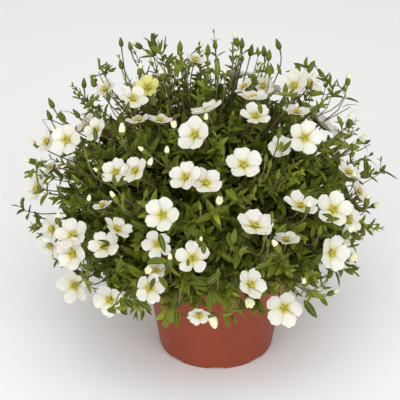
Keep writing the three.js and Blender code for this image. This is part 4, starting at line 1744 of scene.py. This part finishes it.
@dataclass
class Stalks:
    """The stalks of the blooms and buds, with the sepals and the buds themselves."""

    crown: Crown
    picture: Picture
    clearance: Clearance
    blooms: list[Bloom]
    seed: int = 9
    radius: float = 0.42 * MM
    from_level: float = 0.45
    foot_step: float = 1.6 * MM
    foot_rise: float = 4 * MM
    bends: Range = (0.25, 0.5)
    taper: Range = (1.2, 0.3)
    end: float = 1.4
    throat_gap: float = 1.2 * MM
    sepal_drop: float = 1.7 * MM
    sepal_rise: float = 0.16
    sepal_width: float = 0.42
    tries: int = 40
    sepals: int = 5
    sepal_length: float = 6 * MM
    bud_length: float = 7.6 * MM
    bud_width: float = 0.48
    bud_towards_eye: float = 0.25
    far_buds: int = 46
    lowest_bud: float = -0.3
    far_facing: float = 0.2
    far_levels: Range = (0.96, 1.02)
    far_sizes: Range = (0.8, 1.2)

    # Buds that are seen from the front: across, down, how far each one leans right and up in the
    # picture, how far it stands out of the crown (mm), and its size against the usual
    closed_buds = (
        (180, 46, 0, 1, 0, 1), (242, 43, 0, 1, -4, 1), (208, 49, 0, 1, -10, 0.95),
        (215, 44, -0.1, 1, -10, 0.9), (264, 51, -0.1, 1, -6, 1.05), (269, 55, 0.1, 1, -6, 1.05),
        (278, 44, -0.35, 1, 0, 1.1), (51, 103, -0.5, 1, -4, 1.1), (49, 115, -0.4, 1, 0, 1.05),
        (63, 117, -0.3, 1, -2, 0.85), (84, 83, 0, 1, -6, 1), (93, 82, -0.3, 1, -2, 1),
        (121, 42, -0.1, 1, -16, 0.9), (130, 46, -0.2, 1, -14, 0.9), (121, 64, -0.2, 1, -10, 0.95),
        (146, 193, 0.2, 0.6, 6, 0.8), (234, 236, 0.15, 1, 8, 1.35), (266, 158, 0.1, 1, 5, 0.85),
        (270, 164, 0.2, 1, 5, 0.8), (278, 174, 0.2, 1, 5, 0.95), (255, 189, 0.3, 1, 6, 0.7),
        (265, 237, 0.15, 1, 9, 0.85), (268, 243, 0, 1, 9, 0.8), (272, 215, 0, 0.7, 6, 0.7),
        (284, 228, 0.2, 1, 4, 0.85), (188, 262, 0, 1, 12, 0.65), (87, 273, 0, 1, 6, 0.75),
        (331, 274, 0.6, 0.9, 0, 0.9), (285.5, 88, 0, 1, 6, 0.9), (279, 133, 0.1, 1, 6, 0.9),
        (108, 96, -0.2, 1, 2, 0.9), (86, 154, -0.2, 1, 4, 0.8), (123, 197, 0.1, 1, 4, 0.9),
        (320, 230, 0.2, 1, 4, 0.9), (223, 150, 0, 1, 4, 0.9), (200, 206, -0.1, 1, 5, 0.8),
        (181, 290, 0.1, 0.6, 8, 0.8), (218, 272, 0, 1, 6, 0.8),
    )
    tipped_buds = (
        (36, 144, -1, 0.6, -6, 1.2), (31, 161, -1, 0.3, -4, 1.15), (140, 70, 0.1, 1, -8, 1.1),
        (137, 45, -1, 0.6, -14, 1.15), (236, 40, -0.3, 1, -4, 1.25), (200, 47, 1, 0.7, -14, 0.7),
        (162, 75, -0.2, 1, -8, 0.9), (348, 80, 0.1, 1, 0, 1.1), (350, 121, 0.1, 1, 0, 1.15),
        (354, 178, 0.1, 1, -6, 0.9), (367, 200, 0.1, 1, -4, 1.1), (348, 233, 0.7, 0.9, 6, 1.3),
        (277, 247, -0.6, 1, 10, 1.2), (201, 241, 0, 0.3, 8, 0.8), (170, 261, 0, 1, 8, 1.1),
        (58, 219, 0.1, 1, 12, 1), (115, 198, -0.7, 1, 4, 1.15), (98, 172, -0.8, 0.8, 4, 0.8),
        (144, 151, -0.8, 0.6, 3, 1), (308, 208, 0.2, 0.8, 10, 1), (332.5, 292.5, 1, 0.5, 0, 1.1),
        (353, 153, 0.5, 0.8, -6, 0.9), (225, 74, 0, 1, 0, 0.8),
    )
    pale_buds = (
        (122, 130, 0, 1, 4, 1.05), (167, 151, 0, 1, 4, 0.7), (150, 163, 0.2, 0.6, 6, 0.8),
        (89, 199, 0.1, 0.8, 6, 0.65), (304, 282, 0, 0.6, 6, 0.6), (206, 118, 0, 0.8, 4, 0.7),
        (238, 54, 0.2, 0.8, -10, 0.6), (213, 320, 0.3, -1, 4, 1.25),
    )
    cupped_buds = (
        (351, 258, 0.2, 0.05, 0, 1), (249, 301, 0.04, -0.12, 8, 1.2),
        (148, 271, 0.03, 0.06, 10, 0.9), (219, 202, 0.03, 0.16, 8, 0.95),
        (174, 126, -0.1, 0.5, 4, 0.8),
    )

    # The petals that show in each kind: radius and height from the foot to the middle, and the lobes
    corollas = {
        BudKind.TIPPED: (((0, 0.4), (0.28, 0.5), (0.37, 0.7), (0.33, 0.88), (0.18, 1.03), (0, 1.07)), 0.1),
        BudKind.PALE: (((0, 0.12), (0.42, 0.2), (0.6, 0.45), (0.52, 0.76), (0.27, 1), (0, 1.08)), 0.1),
        BudKind.CUPPED: (
            ((0, 0.2), (0.4, 0.25), (0.64, 0.55), (0.68, 0.92), (0.58, 1), (0.36, 0.8), (0, 0.7)), 0.13,
        ),
    }

    def __post_init__(self) -> None:
        """Makes the forms that are copied."""
        self.draw = random.Random(self.seed)
        self.sepal_form = LeafForm(arch=0.1, fold=0.3, rings=5, thickness=0.08, widest=0.35).template()
        self.bud_form = self._bud_template()
        self.pale_forms = {kind: self._corolla_template(*form) for kind, form in self.corollas.items()}
        self.stalks, self.sepal_mesh, self.buds, self.pale = (begin() for _ in range(4))

    def build(self, green: Material, stem: Material, pale: Material) -> None:
        """Makes the stalks, sepals and buds.

        Args:
            green: The finish of the sepals and buds.
            stem: The finish of the stalks.
            pale: The finish of the petals that show in a bud.
        """
        for i, bloom in enumerate(self.blooms):
            tip = bloom.throat - bloom.facing * self.throat_gap
            self._add_stalk(tip, bloom.facing, i)
            self._add_sepals(bloom)
        kinds = (
            (BudKind.CLOSED, self.closed_buds),
            (BudKind.TIPPED, self.tipped_buds),
            (BudKind.PALE, self.pale_buds),
            (BudKind.CUPPED, self.cupped_buds),
        )
        for kind, rows in kinds:
            for row in rows:
                self._add_seen_bud(kind, row)
        for i in range(self.far_buds):
            self._add_far_bud(i)
        finish_piece("stalks", self.stalks, [stem], Slot.FOLIAGE)
        finish_piece("sepals", self.sepal_mesh, [green], Slot.FOLIAGE)
        finish_piece("buds", self.buds, [green], Slot.FOLIAGE)
        finish_piece("bud_petals", self.pale, [pale], Slot.CREAM)

    def _path(self, tip: Point, way: Vector, attempt: int) -> tuple[Point, Point, Point]:
        """The curve of a stalk out of the bush, which arrives the way that its tip looks.

        Args:
            tip: The stalk's tip.
            way: The way that the tip looks.
            attempt: How often this stalk has been tried, which moves its foot sideways.

        Returns:
            The stalk's foot, bend and tip.
        """
        inside = tip - self.crown.middle
        foot = self.crown.middle + inside * self.from_level + UPRIGHT * self.foot_rise
        foot += side_at(inside.normalized(), self.draw.uniform(0, TURN)) * (attempt * self.foot_step)
        bend = tip - way * ((tip - foot).length * self.draw.uniform(*self.bends))
        return foot, bend, tip

    def _add_stalk(self, tip: Point, way: Vector, own: int = -1) -> bool:
        """Adds the first of several bent stalks that keeps clear of the blooms.

        Args:
            tip: The stalk's tip.
            way: The way that the tip looks.
            own: The number of its own bloom, if it has one.

        Returns:
            Whether one was found.
        """
        for attempt in range(self.tries):
            path = self._path(tip, way, attempt)
            points = [curve_point(path, t / 12) for t in range(1, 12)]
            if not self.clearance.crosses(points, own):
                break
        else:
            return False
        radii = tapered(self.radius, 8, *self.taper)[:-1] + [(1, self.radius * self.end)]
        add_tube(self.stalks, path, radii, 5, self.draw.random(), (0, 0.6))
        return True

    def _add_sepals(self, bloom: Bloom) -> None:
        """Adds the pointed sepals under a bloom, which show between its petals.

        Args:
            bloom: The bloom.
        """
        for i in range(self.sepals):
            out = round_z((i + 0.5) * TURN / self.sepals)
            way = risen(out, self.sepal_rise)
            length = self.sepal_length * self.draw.uniform(0.9, 1.1)
            scale = Matrix.Diagonal((length, length * self.sepal_width, length, 1))
            upper = UPRIGHT - out * self.sepal_rise
            local = frame_at(UPRIGHT * -self.sepal_drop, way, upper) @ scale
            self.sepal_form.add_to(self.sepal_mesh, bloom.place @ local, self.draw.uniform(0.45, 0.75))

    def _add_seen_bud(self, kind: BudKind, row: Sequence[float]) -> None:
        """Adds one bud that is seen from the front, with its stalk.

        Args:
            kind: How far it has opened.
            row: Its row of the table.
        """
        across, down, right, up, out, size = row
        way = self.picture.towards(right, up, self.bud_towards_eye)
        middle = self.crown.seen(self.picture, across, down, out * MM)
        foot = middle - way * (self.bud_length * size / 2)
        self._add_stalk(foot, way)
        self._add_bud(kind, foot, way, size)

    def _add_far_bud(self, number: int) -> None:
        """Adds one bud of the golden-angle spread, unless it is on the near side.

        Args:
            number: Its number in the spread.
        """
        direction = spread(number, self.far_buds, self.lowest_bud)
        if direction.dot(self.picture.nearer) > self.far_facing:
            return
        tip = self.crown.on(direction, self.draw.uniform(*self.far_levels))
        way = risen(direction, 0.5)
        size = self.draw.uniform(*self.far_sizes)
        foot = tip - way * self.bud_length * size
        if self._add_stalk(foot, way):
            kind = self.draw.choice((BudKind.CLOSED, BudKind.CLOSED, BudKind.TIPPED, BudKind.PALE))
            self._add_bud(kind, foot, way, size)

    def _add_bud(self, kind: BudKind, foot: Point, way: Vector, size: float) -> None:
        """Adds one bud at the end of its stalk: green alone, with a pale tip, or a pale open cup.

        Args:
            kind: How far it has opened.
            foot: Where its stalk ends.
            way: The way that it looks.
            size: Its size against the usual.
        """
        draw = self.draw
        length = self.bud_length * size
        width = length * self.bud_width * draw.uniform(0.9, 1.1)
        place = frame_at(foot, way, side_at(way, draw.uniform(0, TURN)))
        folded = kind in (BudKind.CLOSED, BudKind.TIPPED)
        wide, high = (width, length) if folded else (width * 1.3, length * 0.62)
        shape = place @ Matrix.Diagonal((wide, wide, high, 1))
        self.bud_form.add_to(self.buds, shape, draw.uniform(0.05, 0.45))
        if kind in self.pale_forms:
            whole = place @ Matrix.Diagonal((width, width, length, 1))
            self.pale_forms[kind].add_to(self.pale, whole, draw.random())

    def _bud_template(self) -> Template:
        """A closed bud, one long and one wide: five sepals folded to a point.

        Returns:
            The form to copy.
        """
        shape = begin()
        bmesh.ops.create_uvsphere(shape, u_segments=2 * self.sepals, v_segments=7, radius=0.5)
        for point in shape.verts:
            t = point.co.z + 0.5
            turn = math.atan2(point.co.y, point.co.x)
            swell = math.sin(math.pi * t**0.62) ** 0.75 if 0 < t < 1 else 0
            ridge = 1 + 0.13 * math.cos(self.sepals * turn) * (1 - t)
            point.co = round_z(turn) * (0.5 * swell * ridge) + UPRIGHT * t
        lay_pattern(shape, shape.faces, lambda at: (math.atan2(at.y, at.x) / TURN * self.sepals % 1, at.z))
        return Template("bud_form", shape)

    def _corolla_template(self, profile: Profile, lobes: float) -> Template:
        """The petals of an opening bud: a shape turned about +Z with five shallow lobes.

        Args:
            profile: Radius and height, from the foot over the rim to the middle.
            lobes: How deep the lobes are at the rim.

        Returns:
            The form, as long as a bud and as wide.
        """
        shape = begin()
        turned(shape, [(radius / MM, height / MM) for radius, height in profile], 3 * self.sepals)
        for point in shape.verts:
            turn = math.atan2(point.co.y, point.co.x)
            point.co.xy *= 1 + lobes * math.cos(self.sepals * turn) * point.co.z
            point.co.z *= 1 + lobes * 0.6 * math.cos(self.sepals * turn + 1) * point.co.z
        lay_pattern(
            shape, shape.faces,
            lambda at: (0.5, min(1, max(0, at.z - 0.4 + Vector(at.xy).length))),
        )
        return Template("corolla_form", shape)


# The blooms


@dataclass
class PetalForm:
    """A broad round-ended petal over the cup of a bloom, with a crinkled end."""

    columns: int = 8
    rows: int = 8
    thickness: float = 0.26 * MM
    foot: float = 0.08
    tip_curve: float = 0.27
    wave: float = 0.06
    ruffle: float = 0.018
    lap: float = 0.035
    notch: float = 0.06
    notch_places: Range = (-0.35, 0.35)
    lengths: Range = (0.96, 1.03)
    widths: Range = (0.94, 1.06)
    lifts: Range = (-0.04, 0.05)

    def add_to(self, mesh: Mesh, bloom: Bloom, turn: float, half_width: float, draw: random.Random) -> None:
        """Adds one petal of a bloom.

        Args:
            mesh: The mesh that it is added to.
            bloom: The bloom.
            turn: The petal's turn about the bloom.
            half_width: Half its width against the bloom's radius.
            draw: The random numbers that make each petal its own.
        """
        made = bmesh.ops.create_grid(mesh, x_segments=self.columns, y_segments=self.rows, size=1)["verts"]
        faces = {face for point in made for face in point.link_faces}
        lay_pattern(mesh, faces, lambda at: ((at.x + 1) / 2, (at.y + 1) / 2))
        radius = bloom.radius
        long = radius * draw.uniform(*self.lengths)
        wide = radius * half_width * draw.uniform(*self.widths)
        phase, lift = draw.uniform(0, TURN), draw.uniform(*self.lifts)
        notch, notch_at = draw.uniform(0, self.notch), draw.uniform(*self.notch_places)
        for point in made:
            u, v = point.co.x, (point.co.y + 1) / 2
            reach = long * (self.foot + (1 - self.foot) * v)
            reach -= long * self.tip_curve * (1 - math.sqrt(1 - 0.9 * u * u)) * v**3
            reach -= long * notch * math.exp(-(((u - notch_at) / 0.3) ** 2)) * v**6
            reach += long * self.ruffle * math.sin(7 * u + 2 * phase) * v**6
            side = wide * u * self._width(v) * (1 + self.ruffle * math.sin(8 * v + phase))
            height = self.cup_height(bloom, reach, side)
            height += radius * (lift * v * v + 0.04 * u * u * v + self.lap * u * v)
            height += radius * self.wave * math.sin(2.6 * u + phase) * v * v
            height += radius * self.ruffle * math.sin(9 * u + 3 * phase) * v**4
            point.co = Vector((reach, side, height))
        solid = bmesh.ops.solidify(mesh, geom=list(faces), thickness=self.thickness)["geom"]
        points = {item for item in solid if isinstance(item, Corner)} | set(made)
        place = bloom.place @ Matrix.Rotation(turn, 4, "Z")
        bmesh.ops.transform(mesh, matrix=place, verts=list(points))

    def cup_height(self, bloom: Bloom, reach: float, side: float) -> float:
        """How high the petal stands over the throat, flattening towards its tip."""
        away = math.hypot(reach, side)
        return bloom.petal_height(away) * (1.12 - 0.12 * away / bloom.radius)

    def _width(self, v: float) -> float:
        """The petal's width at a height against its widest."""
        return math.sin(math.pi * (0.114 + 0.58 * v**1.24))


@dataclass
class BloomParts:
    """The petals of every bloom with the stamens and the green middle that stand in them."""

    petals: int = 5
    stamens: int = 10
    half_widths: Range = (0.38, 0.49)
    ring: float = 2.2 * MM
    stamen_height: float = 2.5 * MM
    anther: float = 0.62 * MM
    thread: Range = (0.16 * MM, 0.1 * MM)
    inner_ring: float = 0.72
    middle_radius: float = 1.15 * MM
    middle_height: float = 1.2 * MM
    seed: int = 31
    petal: PetalForm = field(default_factory=PetalForm)

    def build(self, number: int, blooms: Sequence[Bloom], finishes: Sequence[Material], slot: Slot) -> None:
        """Makes the blooms of one node.

        Args:
            number: The node's number, from 1.
            blooms: Its blooms.
            finishes: The finishes of the petals, the anthers and the green middle.
            slot: The petals' slot.
        """
        draw = random.Random(self.seed + number)
        mesh = begin()
        for bloom in blooms:
            half_width = draw.uniform(*self.half_widths)
            for i in range(self.petals):
                turn = i * TURN / self.petals + draw.uniform(-0.06, 0.06)
                self.petal.add_to(mesh, bloom, turn, half_width, draw)
        done = set(mesh.faces)
        for bloom in blooms:
            self._add_anthers(mesh, bloom, draw)
        done = self._number_new(mesh, done, 1)
        for bloom in blooms:
            self._add_middle(mesh, bloom)
        self._number_new(mesh, done, 2)
        finish_piece(f"flower_{number:02d}", mesh, finishes, slot, f"bloom_{number:02d}")

    def _number_new(self, mesh: Mesh, done: set[Face], material: int) -> set[Face]:
        """Gives the faces that were added since the last count a material's number.

        Args:
            mesh: The blooms' mesh.
            done: The faces that were there before.
            material: The number.

        Returns:
            All the faces that are there now.
        """
        for face in mesh.faces:
            if face not in done:
                face.material_index = material
        return set(mesh.faces)

    def _add_anthers(self, mesh: Mesh, bloom: Bloom, draw: random.Random) -> None:
        """Adds the stamens: thin threads with a grain of an anther on each.

        Args:
            mesh: The blooms' mesh.
            bloom: The bloom.
            draw: The random numbers.
        """
        for i in range(self.stamens):
            turn = i * TURN / self.stamens + draw.uniform(-0.2, 0.2)
            reach = self.ring * (1 if i % 2 else self.inner_ring) * draw.uniform(0.85, 1.15)
            height = self.stamen_height * draw.uniform(0.8, 1.1)
            top = round_z(turn, height, reach)
            foot = Vector((top.x * 0.3, top.y * 0.3, 0.2 * MM))
            sizes = {"radius1": self.thread[0], "radius2": self.thread[1], "depth": (top - foot).length}
            thread = bmesh.ops.create_cone(mesh, cap_ends=True, segments=3, **sizes)["verts"]
            stand = bloom.place @ frame_at((top + foot) / 2, top - foot, RIGHT + UPRIGHT * 0.1)
            bmesh.ops.transform(mesh, matrix=stand, verts=thread)
            grain = bmesh.ops.create_icosphere(mesh, subdivisions=1, radius=self.anther)["verts"]
            bmesh.ops.transform(mesh, matrix=bloom.place @ Matrix.Translation(top), verts=grain)

    def _add_middle(self, mesh: Mesh, bloom: Bloom) -> None:
        """Adds the round green middle.

        Args:
            mesh: The blooms' mesh.
            bloom: The bloom.
        """
        sizes = {"u_segments": 8, "v_segments": 6, "radius": self.middle_radius}
        made = bmesh.ops.create_uvsphere(mesh, **sizes)["verts"]
        raised = bloom.place @ Matrix.Translation(UPRIGHT * self.middle_height)
        bmesh.ops.transform(mesh, matrix=raised @ Matrix.Diagonal((1, 1, 1.2, 1)), verts=made)


# The studio


@dataclass
class Studio:
    """A plain pale floor, soft light and the camera that takes the picture."""

    picture: Picture
    floor_size: float = 24
    sensor: float = 36
    floor_colour: Colour = paint(241, 242, 243)
    world_strength: float = 0.7
    world_tint: Colour = (1, 0.955, 0.912)
    lamp_tint: Colour = (0.9, 0.955, 1)
    aim: Point = field(default_factory=lambda: UPRIGHT * 0.12)

    # Soft lights: name, place, size and power
    lights = (
        ("key", (-0.05, -1.2, 1.55), 1.2, 18),
        ("left", (-1.1, -1.7, 0.7), 1, 12),
        ("right", (1.2, -1.6, 0.7), 1, 12),
    )

    def build(self) -> None:
        """Sets up the floor, the lights and the camera."""
        self._add_floor()
        self._add_world()
        for name, place, size, power in self.lights:
            self._add_light(name, Vector(place), size, power)
        self._add_camera()
        bpy.context.scene.view_settings.view_transform = "Standard"

    def _add_floor(self) -> None:
        """Adds the floor that the pot stands on."""
        mesh = begin()
        bmesh.ops.create_grid(mesh, x_segments=1, y_segments=1, size=self.floor_size / 2)
        data = bpy.data.meshes.new("floor")
        mesh.to_mesh(data)
        mesh.free()
        shader = Shader("pale_floor")
        data.materials.append(shader.dress(Base_Color=self.floor_colour, Roughness=0.8))
        put_in_scene("floor", data)

    def _add_world(self) -> None:
        """Adds the even light all round."""
        world = bpy.data.worlds.new("studio")
        world.use_nodes = True
        background = world.node_tree.nodes["Background"]
        background.inputs["Color"].default_value = (*self.world_tint, 1)
        background.inputs["Strength"].default_value = self.world_strength
        bpy.context.scene.world = world

    def _add_light(self, name: str, place: Point, size: float, power: float) -> None:
        """Adds one soft light that looks at the plant.

        Args:
            name: The light's name.
            place: Where it stands.
            size: The length of its sides.
            power: Its power.
        """
        light = bpy.data.lights.new(name, "AREA")
        light.energy = power
        light.color = self.lamp_tint
        light.size = size
        self._stand(name, light, place, self.aim - place)

    def _add_camera(self) -> None:
        """Adds the camera where the picture was seen from."""
        data = bpy.data.cameras.new("camera")
        data.sensor_width = self.sensor
        data.lens = self.picture.lens(self.sensor)
        camera = self._stand("camera", data, self.picture.eye, -self.picture.nearer)
        bpy.context.scene.camera = camera

    def _stand(self, name: str, data: bpy.types.ID, place: Point, way: Vector) -> bpy.types.Object:
        """Puts a light or camera in the scene.

        Args:
            name: Its name.
            data: The light or camera.
            place: Where it stands.
            way: The way that it looks.

        Returns:
            The object.
        """
        made = put_in_scene(name, data)
        made.location = place
        made.rotation_euler = way.to_track_quat("-Z", "Y").to_euler()
        return made


def main() -> None:
    """Builds the studio and the part."""
    logging.basicConfig(level=logging.INFO, format="%(message)s")
    picture, crown = Picture(), Crown()
    Studio(picture).build()

    leaf, stem = OUTER_LEAF.material(), StemFinish().material()
    Pot().build(TERRACOTTA_PLASTIC.material())
    soil_low, soil_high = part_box("soil")
    soil_top = soil_high.z - 2 * MM
    Compost(soil_high.x, soil_low.z, soil_top).build(CompostFinish().material())

    nodes = BloomPlaces(picture, crown).nodes()
    blooms = [bloom for node in nodes for bloom in node]
    clearance = Clearance(blooms, picture)
    Bush(crown, picture, clearance, soil_top).build(leaf, SHADED_INNER_LEAF.material(), stem)
    Stalks(crown, picture, clearance, blooms).build(leaf, stem, BUD_PETAL.material())

    petals = {Slot.WHITE: WHITE_PETAL.material(), Slot.CREAM: CREAM_PETAL.material()}
    small = [ANTHER.material(), GREEN_MIDDLE.material()]
    for number, node in enumerate(nodes, 1):
        slot = Slot.CREAM if number == CREAM_NODE else Slot.WHITE
        BloomParts().build(number, node, [petals[slot], *small], slot)


if __name__ == "__main__":
    main()
